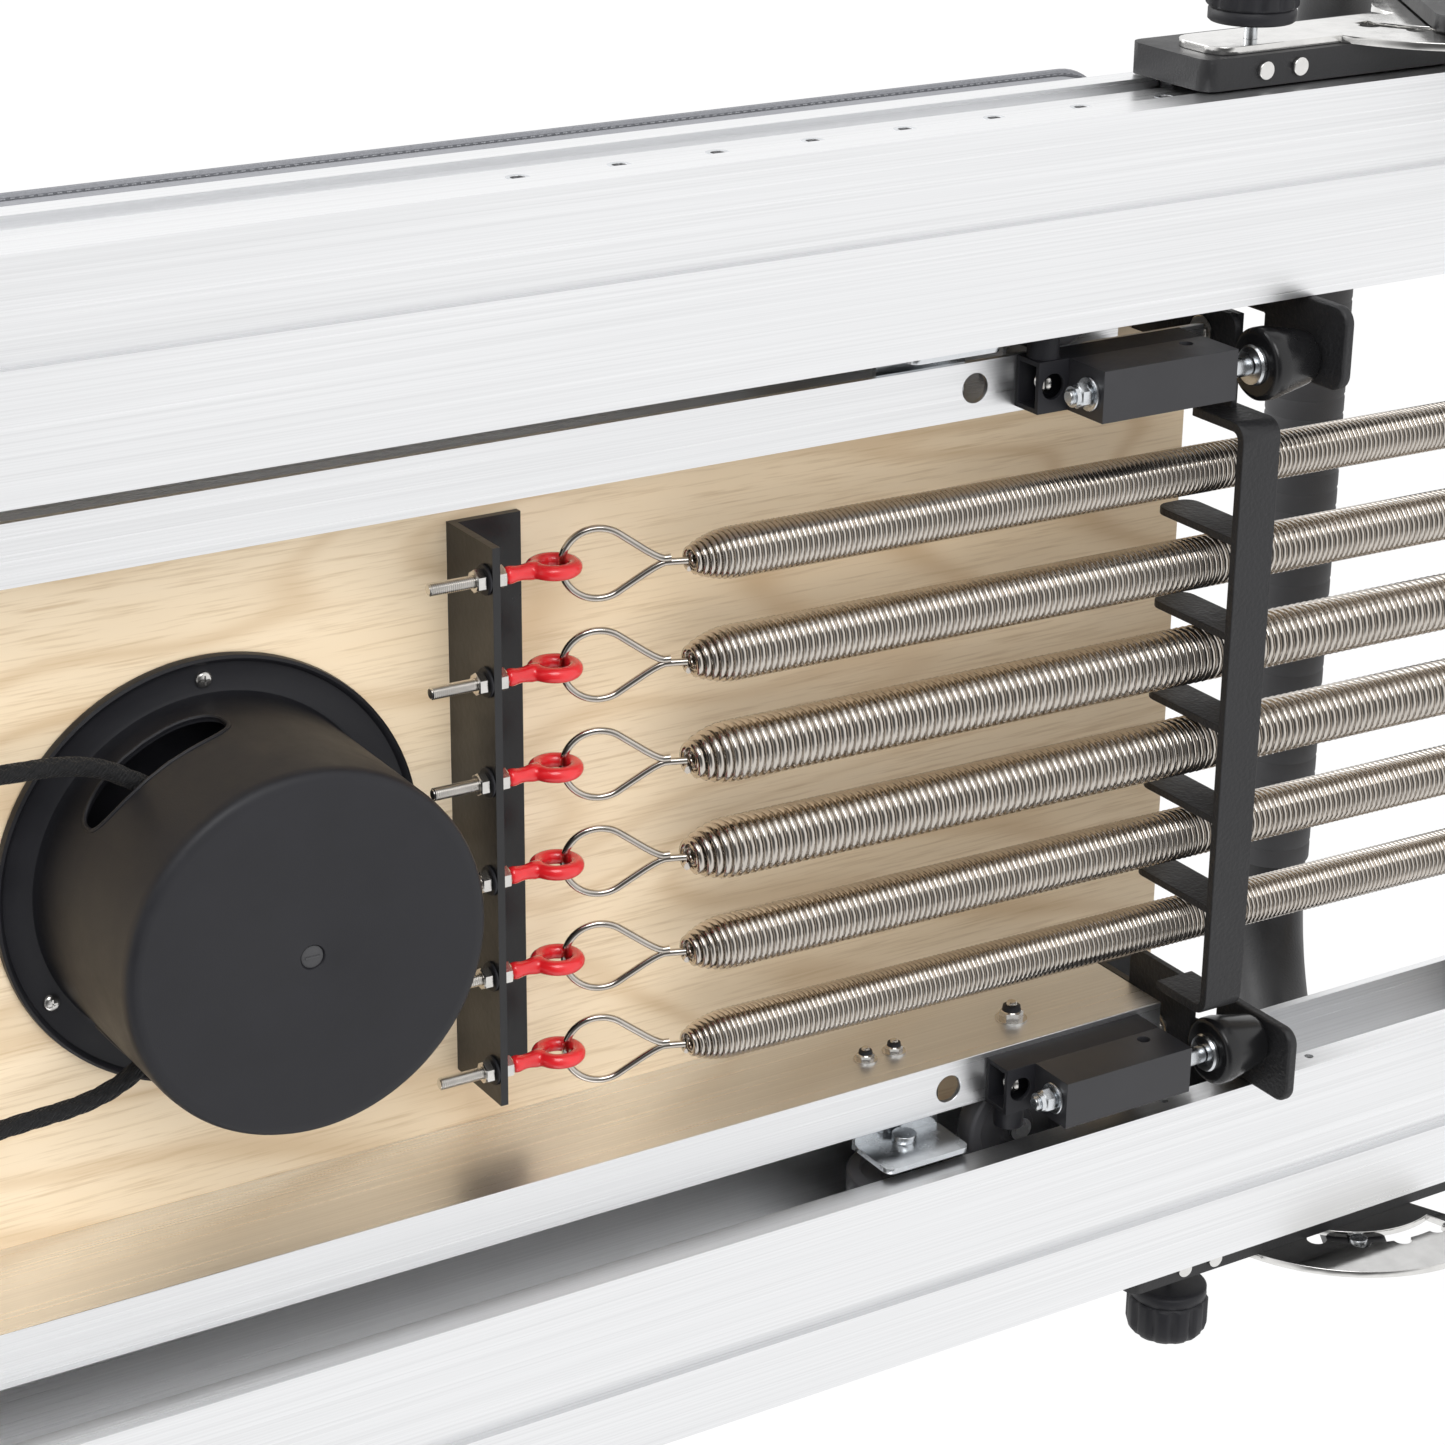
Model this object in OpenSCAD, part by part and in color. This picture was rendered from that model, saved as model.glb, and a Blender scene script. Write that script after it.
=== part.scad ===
// Pilates reformer: a sprung carriage rolling between two aluminium rails.
// +X points to the foot end, +Y across, +Z up. The origin is on the floor under the middle.
// Every part is placed from one datum: the carriage board's foot edge, on its underside.

/* [Frame] */
// Height of the rails' bottom face above the floor
rail_bottom = 210; // [180:5:260]
// Clear width between the rails
rail_gap = 441; // [437:1:445]
// Width of one rail
rail_w = 104; // [102:1:110]
// Height of one rail
rail_h = 77; // [75:1:80]
// Distance from the carriage's foot edge to the frame's foot end
foot_reach = 430; // [425:5:460]
// Distance from the carriage's foot edge to the frame's head end
head_reach = 1930; // [1920:10:2100]

/* [Carriage] */
// Length of the carriage board
board_l = 960; // [950:5:980]
// Width of the carriage board
board_w = 592; // [560:4:600]
// Thickness of the carriage board
board_t = 19; // [15:1:22]
// Width of the mat
mat_w = 618; // [600:2:630]
// Thickness of the mat
mat_t = 45.5; // [35:0.5:50]

/* [Springs] */
// Distance between neighbouring springs
spring_pitch = 50.8; // [48:0.1:54]
// Length of a spring's coils
coil_l = 595; // [560:5:610]
// Outer diameters of the light, medium and heavy springs
spring_d = [25.2, 27.6, 30.6];
// Wire diameters of the light, medium and heavy springs
wire_d = [2.9, 3.4, 4.2];

/* [Footbar] */
// Distance from the footbar's pivot to its crossbar
footbar_reach = 272; // [250:2:290]
// Diameter of the footbar's tube
footbar_d = 45; // [38:1:46]

/* [Reel] */
// Diameter of the rope reel's housing
reel_d = 175; // [170:1:180]
// Height of the rope reel's housing
reel_h = 100; // [90:1:105]
// Diameter of the ropes
rope_d = 9; // [8:0.5:10]

/* [Hidden] */
$fn = 48;

aluminium = "#d9dcdf";
zinc = "#b9bdc0";
black = "#1d1d1f";
charcoal = "#2b2b2e";

// The datum, and the rails' faces measured from it.
gap_below_board = 28;
datum_x = (head_reach - foot_reach) / 2;
datum_z = rail_bottom + rail_h + gap_below_board;
rail_z = -gap_below_board - rail_h;
rail_in = rail_gap / 2;
rail_out = rail_in + rail_w;
cap_t = 4;
recess_w = 41.5;
floor_t = 5.5;
recess_web = rail_in + recess_w;
track_z = rail_z + floor_t;

// The carriage's side channels, wheels and rollers.
channel_l = board_l - 60;
channel_end = -50;
channel_in = 175;
channel_out = 203.6;
channel_h = 71.4;
sheet_t = 3;
wheel_r = 30;
wheel_z = track_z + wheel_r + 0.3;
roller_r = 31;
roller_y = recess_web - roller_r - 0.5;
roller_z = -56;
wheel_x = [-216, -760];
roller_x = [-138, -838];

// The spring anchor, and the springs' gentle fall towards the foot end.
anchor_x = -441;
anchor_l = 288;
anchor_t = 4;
eye_z = -39;
eye_x = -405;
coil_x = -345;
coil_z = -62;
spring_fall = 1.75;

// The comb that keeps the springs apart.
comb_x = -58;
comb_w = 24;
comb_z = -117;
comb_half = 163;
tooth_top = -50;

// The bumpers under the channels' foot ends.
bumper_y = 190.5;
bumper_z = -107;
stop_x = -12;

// The footbar's pivot, its lean at rest, and the row of holes that lock its trolleys.
hole_pitch = 50.8;
first_hole = -439.4;
hole_count = 13;
hole_z = -72.5;
hole_r = 3.5;
pivot = [110, -50];
lean = 30.5;
plate_y = rail_out + 16.5;
plate_t = 4;
notch_r = 72;
notch_step = 20;
pin_r = 5;
arm_y = 350;

// The rope reel and the route of the ropes under the board.
reel_x = -568;
reel_y = 5;
rope_z = -40;
rope_off = 85;
grommet_x = -880;
grommet_y = 150;

riser_x = -1875;
riser_y = rail_in + 51.5;
pulley_z = 165;
pulley_reach = 38;

function spring_y(k) = (k - 2.5) * spring_pitch;

module datum() translate([datum_x, 0, datum_z]) children();
module both() for (s = [1, -1]) scale_y(s) children();
module scale_y(s) mirror([0, s < 0 ? 1 : 0, 0]) children();
module box(x, y, z) translate([x[0], y[0], z[0]]) cube([x[1] - x[0], y[1] - y[0], z[1] - z[0]]);
module along_x(x, y, z, d, l) translate([x, y, z]) rotate([0, 90, 0]) cylinder(d = d, h = l);
module along_y(x, y, z, d, l) translate([x, y, z]) rotate([-90, 0, 0]) cylinder(d = d, h = l);
module hex_x(x, y, z, flats, l)
    translate([x, y, z]) rotate([0, 90, 0]) cylinder(d = flats / cos(30), h = l, $fn = 6);
module hex_y(x, y, z, flats, l)
    translate([x, y, z]) rotate([-90, 0, 0]) cylinder(d = flats / cos(30), h = l, $fn = 6);
module ring(outer, inner, l) difference() {
    cylinder(d = outer, h = l);
    translate([0, 0, -1]) cylinder(d = inner, h = l + 2);
}
// A flat plate with rounded corners, drawn in a plane and given a thickness along Z.
module plate(x0, y0, x1, y1, r, t) linear_extrude(t) union() {
    translate([x0 + r, y0]) square([x1 - x0 - 2 * r, y1 - y0]);
    translate([x0, y0 + r]) square([x1 - x0, y1 - y0 - 2 * r]);
    for (x = [x0 + r, x1 - r], y = [y0 + r, y1 - r]) translate([x, y]) circle(r);
}
// The same plate standing in the X-Z plane, from y to y + t.
module plate_xz(x0, z0, x1, z1, r, y, t)
    translate([0, y + t, 0]) rotate([90, 0, 0]) plate(x0, z0, x1, z1, r, t);
// The same plate standing in the Y-Z plane, from x to x + t.
module plate_yz(y0, z0, y1, z1, r, x, t)
    translate([x, 0, 0]) rotate([90, 0, 90]) plate(y0, z0, y1, z1, r, t);

// ---------------------------------------------------------------- frame

// Rail section: the inner lip at 0, the outer face at rail_w, the bottom at 0.
module rail_section() difference() {
    polygon([
        [0, 0], [57.2, 0], [57.2, 5], [66.1, 5], [66.1, 0],
        [rail_w, 0], [rail_w, 19.5], [rail_w - 3, 19.5], [rail_w - 3, 50],
        [rail_w - 6, 50], [rail_w - 6, 61.5], [rail_w, 61.5], [rail_w, rail_h],
        [5.5, rail_h], [5.5, rail_h - 5], [recess_w, rail_h - 5], [recess_w, floor_t],
        [3.5, floor_t], [3.5, 15.5], [0, 15.5]
    ]);
    translate([recess_w + 4, 9]) square([rail_w - recess_w - 15, rail_h - 14]);
}
module rail() color(aluminium) datum() difference() {
    translate([-head_reach + cap_t, rail_in, rail_z])
        rotate([90, 0, 90]) linear_extrude(head_reach + foot_reach - 2 * cap_t) rail_section();
    for (k = [0 : hole_count - 1])
        along_y(first_hole + k * hole_pitch, rail_out - 15, hole_z, 2 * hole_r, 20);
    for (x = [-64, 38.2]) along_y(x, rail_in - 2, rail_z + 10, 5, 7);
}
module rail_left() rail();
module rail_right() scale_y(-1) rail();

module rail_end_caps() color(black) datum() both()
    for (x = [-head_reach, foot_reach - cap_t])
        plate_yz(rail_in, rail_z, rail_out, rail_z + rail_h, 3, x, cap_t);

// A box section between the rails, with a tenon into each rail's recess.
module crossmember(x) color(black) datum() {
    difference() {
        box([x, x + 46], [-rail_in, rail_in], [-100, -36]);
        box([x + 3, x + 43], [-rail_in + 3, rail_in - 3], [-97, -39]);
    }
    both() box([x + 3, x + 43], [rail_in, recess_web], [-88, -38]);
}
module foot_crossmember() crossmember(foot_reach - 50);
module head_crossmember() crossmember(-head_reach + 4);

leg_x = [-1830, 330];
leg_y = 272;
module each_leg() datum() both() for (x = leg_x) translate([x, leg_y, 0]) children();
module legs() color(black) each_leg() {
    difference() {
        translate([0, 0, -285]) plate(-25, -25, 25, 25, 5, 174);
        translate([0, 0, -279]) plate(-22, -22, 22, 22, 3, 169);
        translate([0, 0, -290]) cylinder(d = 12.2, h = 20);
    }
    translate([0, 0, -111]) plate(-45, -45, 45, 45, 6, 6);
}
module levelling_feet() color(charcoal) each_leg() {
    translate([0, 0, -datum_z]) cylinder(r1 = 25, r2 = 23, h = 12);
    translate([0, 0, -datum_z + 12]) cylinder(d = 12, h = 48);
}
module frame_bolts() color(zinc) datum() both() {
    for (x = leg_x, dx = [-35, 35], dy = [-35, 35])
        translate([x + dx, leg_y + dy, -116]) cylinder(d = 13 / cos(30), h = 5, $fn = 6);
    for (x = [4, 26]) along_y(x, recess_web - 9.5, -60, 11, 3.5);
    for (x = [345, 411]) translate([x, leg_y, -6.5]) cylinder(d = 12, h = 3);
}

// The springs' hooks lie on this bar, and each one can be hung on its post.
bar_top = -86.5;
module spring_bar() color(black) datum() {
    box([272, 322], [-rail_in + 0.5, rail_in - 0.5], [bar_top - 5, bar_top]);
    box([317, 322], [-rail_in + 0.5, rail_in - 0.5], [bar_top - 18, bar_top - 5]);
    both() box([272, 322], [rail_in - 0.5, recess_web], [bar_top - 0.5, bar_top + 4]);
    both() box([272, 322], [rail_in - 6, rail_in - 0.5], [bar_top, bar_top + 4]);
    for (k = [0 : 5]) translate([312, spring_y(k), bar_top]) {
        cylinder(d = 9, h = 14);
        translate([0, 0, 14]) cylinder(d = 14, h = 4);
    }
}

module standing_platform() color("#d9bd92") datum()
    translate([0, 0, -gap_below_board]) plate(328, -305, foot_reach - 4, 305, 8, 18);
module platform_pad() color(charcoal) datum()
    translate([0, 0, -gap_below_board + 18]) plate(358, -292, 398, 292, 6, 3);

// A plate that stops the bumper, with an ear and a foot in the rail's recess.
module stop_brackets() color(black) datum() both() {
    plate_yz(177, -134, rail_in - 0.3, -72, 9, stop_x, 6);
    box([stop_x, stop_x + 6], [204, recess_web], [-87, -50]);
    box([stop_x, 42], [recess_web - 6, recess_web], [-87, -50]);
}

module riser_posts() color(black) datum() both() translate([riser_x, riser_y, 0]) {
    difference() {
        translate([0, 0, -gap_below_board]) cylinder(d = 34, h = 150);
        translate([0, 0, 90]) cylinder(d = 12.1, h = 40);
    }
    translate([0, 0, -gap_below_board]) difference() {
        cylinder(d = 50, h = 6);
        translate([0, 0, -1]) cylinder(d = 34, h = 8);
    }
}

// A swivel yoke: a stem in the post, a bridge and two cheeks that hold the wheel's pin.
module pulley_yoke() color(zinc) datum() translate([riser_x, riser_y, 0]) {
    translate([0, 0, 92]) cylinder(d = 12, h = 33);
    difference() {
        union() {
            translate([0, 0, 122.5]) cylinder(d = 30, h = 5);
            box([-8, 8], [-13, 13], [127, 182]);
            for (y = [-13, 10]) plate_xz(-8, 148, pulley_reach + 14, 182, 8, y, 3);
        }
        box([8.01, 80], [-9.9, 9.9], [100, 200]);
        box([-20, 8.02], [-6, 6], [135, 174]);
        along_y(pulley_reach, -20, pulley_z, 8.1, 40);
    }
    along_y(pulley_reach, -15, pulley_z, 8, 30);
    for (y = [-16, 13]) along_y(pulley_reach, y, pulley_z, 13, 3);
}
module pulley_yoke_left() pulley_yoke();
module pulley_yoke_right() scale_y(-1) pulley_yoke();
module pulley_wheel() color(charcoal) datum()
    translate([riser_x + pulley_reach, riser_y, pulley_z]) rotate([90, 0, 0])
        rotate_extrude($fn = 64) difference() {
            translate([4.1, -8.5]) square([23.4, 17]);
            translate([29, 0]) circle(6);
        }
module pulley_wheel_left() pulley_wheel();
module pulley_wheel_right() scale_y(-1) pulley_wheel();

// ---------------------------------------------------------------- carriage

module board() color("#dcc097") datum() difference() {
    plate(-board_l, -board_w / 2, 0, board_w / 2, 12, board_t);
    for (s = [1, -1]) translate([grommet_x, s * grommet_y, -1]) cylinder(d = 22, h = board_t + 2);
    for (s = [1, -1]) translate([shoulder_x, s * shoulder_y, -1])
        cylinder(d = socket_d, h = board_t + 2);
}
mat_foot = -15;
mat_head = -735;
module mat() color("#77797d") datum() translate([0, 0, board_t])
    plate(mat_head, -mat_w / 2, mat_foot, mat_w / 2, 30, mat_t);

// A side channel: its web faces the springs and both flanges point outwards.
module channel() color(aluminium) datum() difference() {
    union() {
        box([channel_end - channel_l, channel_end], [channel_in, channel_in + sheet_t],
            [-channel_h, 0]);
        for (z = [-channel_h, -sheet_t])
            box([channel_end - channel_l, channel_end], [channel_in, channel_out],
                [z, z + sheet_t]);
    }
    for (x = [-190, -786]) translate([x, 190.4, -channel_h - 1]) cylinder(d = 15, h = 5);
}
module channel_left() channel();
module channel_right() scale_y(-1) channel();

// Nuts and screw heads that sit on the carriage's faces.
bolt_z = -46;
module carriage_fasteners() color(zinc) datum() {
    both() {
        for (x = concat([for (w = wheel_x) each [w - 10, w + 8]])) {
            hex_y(x, channel_in - 5, bolt_z, 8, 5);
            along_y(x, channel_in - 7, bolt_z, 4.8, 2);
        }
        for (x = [for (r = roller_x) r + 6]) {
            hex_y(x, channel_in - 7, bolt_z, 11, 7);
            along_y(x, channel_in - 10, bolt_z, 7.6, 3);
        }
        along_x(comb_x + 13.5, 196, -62, 18, 1.5);
        along_x(comb_x + 11.5, 196, -62, 10, 2);
        hex_x(comb_x + 23, 196, -62, 10, 5);
    }
    for (a = [60, 180, 300]) translate([reel_x, reel_y, 0]) rotate([0, 0, a])
        translate([reel_d / 2 + 8, 0, -5.5]) cylinder(d = 8.5, h = 2.5);
}

module spring_anchor() color(black) datum() difference() {
    union() {
        box([anchor_x, anchor_x + 37.5], [-anchor_l / 2, anchor_l / 2], [-anchor_t, 0]);
        box([anchor_x, anchor_x + anchor_t], [-anchor_l / 2, anchor_l / 2], [-46, 0]);
    }
    for (k = [0 : 5]) along_x(anchor_x - 2, spring_y(k), eye_z, 6.4, anchor_t + 4);
}
module eyebolts() color(zinc) datum() for (k = [0 : 5]) {
    along_x(-471, spring_y(k), eye_z, 6.3, 41.5);
    for (x = [anchor_x - 6.5, anchor_x + anchor_t]) difference() {
        hex_x(x, spring_y(k), eye_z, 10, 5);
        along_x(x - 1, spring_y(k), eye_z, 6.3, 8);
    }
    difference() {
        along_x(anchor_x - 1.5, spring_y(k), eye_z, 15, 1.5);
        along_x(anchor_x - 3, spring_y(k), eye_z, 6.3, 5);
    }
}
eye_ring_r = 9.8;
eye_wire = 8;
module eye_rings() color("#c8282c") datum() for (k = [0 : 5]) translate([0, spring_y(k), eye_z]) {
    difference() {
        along_x(-429.5, 0, 0, 9, 18);
        translate([eye_x, 10, 0]) rotate([90, 0, 0]) cylinder(r = eye_ring_r, h = 20);
    }
    translate([eye_x, 0, 0]) rotate([90, 0, 0])
        rotate_extrude($fn = 48) translate([eye_ring_r, 0]) circle(d = eye_wire);
}

// One spring: a wire loop through the red eye, a close coil with tapered ends, and a hook.
loop_r = 17.5;
loop_wire = 3.6;
hook_x = eye_x + eye_ring_r - (eye_wire + loop_wire) / 2 - 0.2;
hook_fall = 22;
taper = 24;
module wire_loop(r, wire)
    rotate_extrude($fn = 48) translate([r, 0]) circle(d = wire, $fn = 16);
module coil_body(d, wire) rotate([0, 90, 0]) rotate_extrude($fn = 48) polygon([
    [d / 2 - 9, 0], [d / 2 - 6, 0], [d / 2 - 2, taper * 0.4], [d / 2, taper],
    [d / 2, coil_l - taper], [d / 2 - 2, coil_l - taper * 0.4], [d / 2 - 6, coil_l],
    [d / 2 - 9, coil_l], [d / 2 - 9, coil_l - 6], [d / 2 - wire, coil_l - taper],
    [d / 2 - wire, taper], [d / 2 - 9, 6]
]);
module spring(k, size) datum() {
    translate([hook_x, spring_y(k), eye_z]) rotate([0, hook_fall, 0]) {
        translate([loop_r, 0, 0]) wire_loop(loop_r, loop_wire);
        along_x(2 * loop_r, 0, 0, loop_wire, 24);
    }
    translate([coil_x, spring_y(k), coil_z]) rotate([0, spring_fall, 0]) {
        coil_body(spring_d[size], wire_d[size]);
        along_x(coil_l - 8, 0, 0, loop_wire, 18);
        translate([coil_l + 27, 0, 0]) wire_loop(loop_r, loop_wire);
    }
}
module springs_light() color("#a8a29a") for (k = [0, 5]) spring(k, 0);
module springs_medium() color("#a8a29a") for (k = [1, 4]) spring(k, 1);
module springs_heavy() color("#a8a29a") for (k = [2, 3]) spring(k, 2);

// A flat bar bent up at both ends, with five teeth between the springs and a tab at each end.
comb_t = 5;
comb_bend = 9;
tooth_round = 8;
module comb_bar() {
    side = comb_half - comb_bend;
    box([comb_x, comb_x + comb_w], [-side, side], [comb_z, comb_z + comb_t]);
    both() {
        translate([comb_x, side, comb_z + comb_bend]) rotate([90, 0, 90])
            rotate([0, 0, -90]) rotate_extrude(angle = 90)
                translate([comb_bend - comb_t, 0]) square([comb_t, comb_w]);
        box([comb_x, comb_x + comb_w], [comb_half - comb_t, comb_half],
            [comb_z + comb_bend, -76]);
    }
}
module comb_tooth(y) translate([comb_x, y + 2, 0]) rotate([90, 0, 0]) linear_extrude(4)
    polygon(concat(
        [[0, comb_z + 2], [comb_w, comb_z + 2]],
        [for (a = [0 : 15 : 90]) [comb_w - tooth_round + tooth_round * cos(a),
                                  tooth_top - tooth_round + tooth_round * sin(a)]],
        [for (a = [90 : 15 : 180]) [tooth_round + tooth_round * cos(a),
                                    tooth_top - tooth_round + tooth_round * sin(a)]]
    ));
module comb() color(black) datum() {
    comb_bar();
    for (k = [0 : 4]) comb_tooth((k - 2) * spring_pitch);
    both() difference() {
        plate_yz(comb_half - 5, -88, 210, -34, 8, comb_x + 15, 4);
        along_x(comb_x + 10, 196, -62, 6.4, 12);
    }
}
module comb_hangers() color(black) datum() both() difference() {
    union() {
        box([comb_x + 19, comb_x + 23], [183, 210], [-84, 0]);
        box([comb_x + 23, comb_x + 50], [183, 210], [-4, 0]);
    }
    along_x(comb_x + 10, 196, -62, 6.4, 20);
}

// Square tubes under the flanges carry the blocks that guide the bumpers' rods.
tube_x = [-166, -66];
tube_y = [178, 204];
tube_z = [-90, -channel_h];
block_x = [-148, -66];
block_z = [-118, -90];
module bumper_carriers() color(black) datum() both() {
    difference() {
        box(tube_x, tube_y, tube_z);
        box([tube_x[0] - 1, tube_x[1] + 1], tube_y + [2.5, -2.5], tube_z + [2.5, -2.5]);
        translate([-157, 191, tube_z[0] - 1]) cylinder(d = 13, h = 5);
    }
    along_y(-157, tube_y[1], -80.5, 16, 11);
}
module bumper_blocks() color(black) datum() both() difference() {
    box(block_x, tube_y, block_z);
    along_x(block_x[0] - 1, bumper_y, bumper_z, 8.2, 90);
    along_y(-82, tube_y[0] - 1, -97, 7, 30);
}
module bumper_rods() color(zinc) datum() both() {
    along_x(-161, bumper_y, bumper_z, 8, 111);
    along_x(-66, bumper_y, bumper_z, 10, 16);
    for (x = [-149.5, -47.5]) difference() {
        along_x(x, bumper_y, bumper_z, x < -100 ? 17 : 21, 1.5);
        along_x(x - 1, bumper_y, bumper_z, 8, 4);
    }
    difference() {
        hex_x(-156.5, bumper_y, bumper_z, 11, 7);
        along_x(-158, bumper_y, bumper_z, 8, 10);
    }
    along_y(-157, tube_y[1] + 11, -80.5, 21, 1.5);
}
module bumpers() color(black) datum() both() difference() {
    translate([-46, bumper_y, bumper_z]) rotate([0, 90, 0]) rotate_extrude()
        polygon([[0, 0], [16.5, 0], [18.5, 1.5], [18.5, 8], [14, 30], [11, 33.7], [0, 33.7]]);
    along_x(-60, bumper_y, bumper_z, 8, 10.05);
}

// Zinc brackets for the rolling wheels and angles for the side rollers.
wheel_in = 230;
wheel_w = 18;
module wheel_brackets() color(zinc) datum() both() {
    for (x = wheel_x) difference() {
        union() {
            box([x - 26, x + 26], [channel_in + sheet_t, channel_in + 2 * sheet_t], [-62, -22]);
            box([x - 26, x + 26], [channel_in + sheet_t, 217], [-62, -59]);
            plate_xz(x - 26, -93, x + 26, -60, 5, 214, 3);
        }
        along_y(x, 200, wheel_z, 10.1, 20);
    }
    for (x = roller_x) difference() {
        union() {
            box([x - 14, x + 26], [channel_in + sheet_t, channel_in + 2 * sheet_t], [-66, -22]);
            box([x - 14, x + 26], [channel_in + sheet_t, roller_y + 14], [-44, -41]);
        }
        translate([x, roller_y, -50]) cylinder(d = 8.1, h = 20);
    }
}
module axle_bolts() color(zinc) datum() both() {
    for (x = wheel_x) {
        along_y(x, 214, wheel_z, 10, 36);
        along_y(x, 210, wheel_z, 13, 4);
        along_y(x, 217, wheel_z, 14, 12.7);
        along_y(x, 248.3, wheel_z, 15, 3);
    }
    for (x = roller_x) translate([x, roller_y, 0]) {
        translate([0, 0, -68]) cylinder(d = 8, h = 27);
        translate([0, 0, -41]) cylinder(d = 13, h = 4);
        translate([0, 0, -67.5]) cylinder(d = 13, h = 3);
    }
}
module wheel_pair(x) color(charcoal) datum() both()
    translate([x, wheel_in + wheel_w, wheel_z]) rotate([90, 0, 0]) rotate_extrude($fn = 64)
        polygon([[5.05, 0], [12, 0], [13, 3], [22, 3], [23, 0], [28.5, 0], [wheel_r, 1.5],
                 [wheel_r, wheel_w - 1.5], [28.5, wheel_w], [23, wheel_w], [22, wheel_w - 3],
                 [13, wheel_w - 3], [12, wheel_w], [5.05, wheel_w]]);
module front_wheels() wheel_pair(wheel_x[0]);
module rear_wheels() wheel_pair(wheel_x[1]);
module guide_roller(x, s) color(charcoal) datum() translate([x, s * roller_y, roller_z - 8])
    rotate_extrude($fn = 64)
        polygon([[4.05, 0], [10, 0], [11, 2.5], [23, 2.5], [24, 0], [29.5, 0], [roller_r, 1.5],
                 [roller_r, 12.5], [29.5, 14], [4.05, 14]]);
module guide_roller_front_left() guide_roller(roller_x[0], 1);
module guide_roller_front_right() guide_roller(roller_x[0], -1);
module guide_roller_rear_left() guide_roller(roller_x[1], 1);
module guide_roller_rear_right() guide_roller(roller_x[1], -1);

// The reel's housing: a cup under the board, open to the ropes on its head side.
module reel_housing() color(black) datum() translate([reel_x, reel_y, 0]) difference() {
    union() {
        translate([0, 0, -3]) cylinder(d = 213, h = 3);
        translate([0, 0, -reel_h - 8]) cylinder(d = reel_d, h = reel_h + 8, $fn = 96);
        translate([0, 0, -reel_h - 12]) cylinder(r1 = reel_d / 2 - 4, r2 = reel_d / 2, h = 4);
    }
    translate([0, 0, -reel_h - 8]) cylinder(d = reel_d - 6, h = reel_h + 9, $fn = 96);
    translate([0, 0, -reel_h - 13]) cylinder(d = 11, h = 1.5);
    for (s = [1, -1]) box([-110, -10], [s > 0 ? 78 : -100, s > 0 ? 100 : -78],
                          [rope_z - 15, rope_z + 15]);
}
module reel_spool() color(charcoal) datum() translate([reel_x, reel_y, 0]) {
    rotate_extrude($fn = 64) polygon([
        [5, -100], [70, -100], [70, -96], [52, -96], [52, -24], [70, -24], [70, -20], [5, -20]
    ]);
    rotate_extrude($fn = 64) translate([52, -90]) square([16, 60]);
}

// The ropes' route: out of the reel, outwards, and up through the board's grommets.
left_route = [
    [-592, 90], [-640, 90], [-690, 90], [-730, 94], [-770, 106], [-810, 126], [-840, 142],
    [-858, 148.5]
];
right_route = [
    [-592, 80], [-640, 80], [-690, 80], [-730, 85], [-770, 100], [-810, 123], [-840, 141],
    [-858, 148.5]
];
rise = [
    [-870, -38], [-877, -31], [-880, -20], [-880, -5], [-880, 10], [-880, 22], [-883, 31],
    [-889, 35]
];
function route(flat, s) = concat(
    [for (p = flat) [p[0], s * p[1], rope_z]],
    [for (p = rise) [p[0], s * grommet_y, p[1]]]
);
function unit(v) = v / norm(v);
function heading(p, i) = unit(p[min(i + 1, len(p) - 1)] - p[max(i - 1, 0)]);
function rope_ring(c, t, sides) =
    let (u = unit(cross(t, abs(t[1]) < 0.9 ? [0, 1, 0] : [1, 0, 0])), v = cross(t, u))
    [for (j = [0 : sides - 1]) c + rope_d / 2 * (cos(360 * j / sides) * u
                                                 + sin(360 * j / sides) * v)];
module rope_tube(p) {
    sides = 10;
    n = len(p);
    polyhedron(
        points = [for (i = [0 : n - 1]) each rope_ring(p[i], heading(p, i), sides)],
        faces = concat(
            [[for (j = [0 : sides - 1]) j]],
            [for (i = [0 : n - 2], j = [0 : sides - 1])
                [i * sides + j, (i + 1) * sides + j, (i + 1) * sides + (j + 1) % sides,
                 i * sides + (j + 1) % sides]],
            [[for (j = [sides - 1 : -1 : 0]) (n - 1) * sides + j]]
        )
    );
}
module ropes() color(black) datum() {
    rope_tube(route(left_route, 1));
    rope_tube(route(right_route, -1));
}

// Webbing hand loops that stand on the board, each with a steel ring on its rope's end.
loop_x = [-952, -896];
loop_y = [120, 235];
module hand_loops() color("#2e3138") datum() both() {
    translate([0, 0, board_t + 0.2]) difference() {
        plate(loop_x[0], loop_y[0], loop_x[1], loop_y[1], 27, 25);
        translate([0, 0, -1]) plate(loop_x[0] + 3, loop_y[0] + 3, loop_x[1] - 3, loop_y[1] - 3,
                                    24, 27);
    }
}

// The tubes that the shoulder rests drop into, and the grommets that guide the ropes.
shoulder_x = -775;
shoulder_y = 132;
socket_d = 30;
post_d = 22;
module carriage_sockets() color(black) datum() both() {
    translate([shoulder_x, shoulder_y, -45]) ring(socket_d, post_d + 0.15, 45 + board_t);
    translate([grommet_x, grommet_y, -2]) difference() {
        union() {
            cylinder(d = 21.8, h = board_t + 2);
            translate([0, 0, -1]) cylinder(d = 32, h = 3);
        }
        translate([0, 0, -3]) cylinder(d = 13, h = 40);
    }
}
module shoulder_post(s) color(zinc) datum() translate([shoulder_x, s * shoulder_y, -43])
    cylinder(d = post_d, h = 43 + 72);
module shoulder_post_left() shoulder_post(1);
module shoulder_post_right() shoulder_post(-1);
module shoulder_pad(s) color("#5c5e62") datum() difference() {
    translate([shoulder_x, s * shoulder_y, 70]) plate(-30, -65, 30, 65, 18, 125);
    translate([shoulder_x, s * shoulder_y, 60]) cylinder(d = post_d, h = 12);
}
module shoulder_pad_left() shoulder_pad(1);
module shoulder_pad_right() shoulder_pad(-1);
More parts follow.
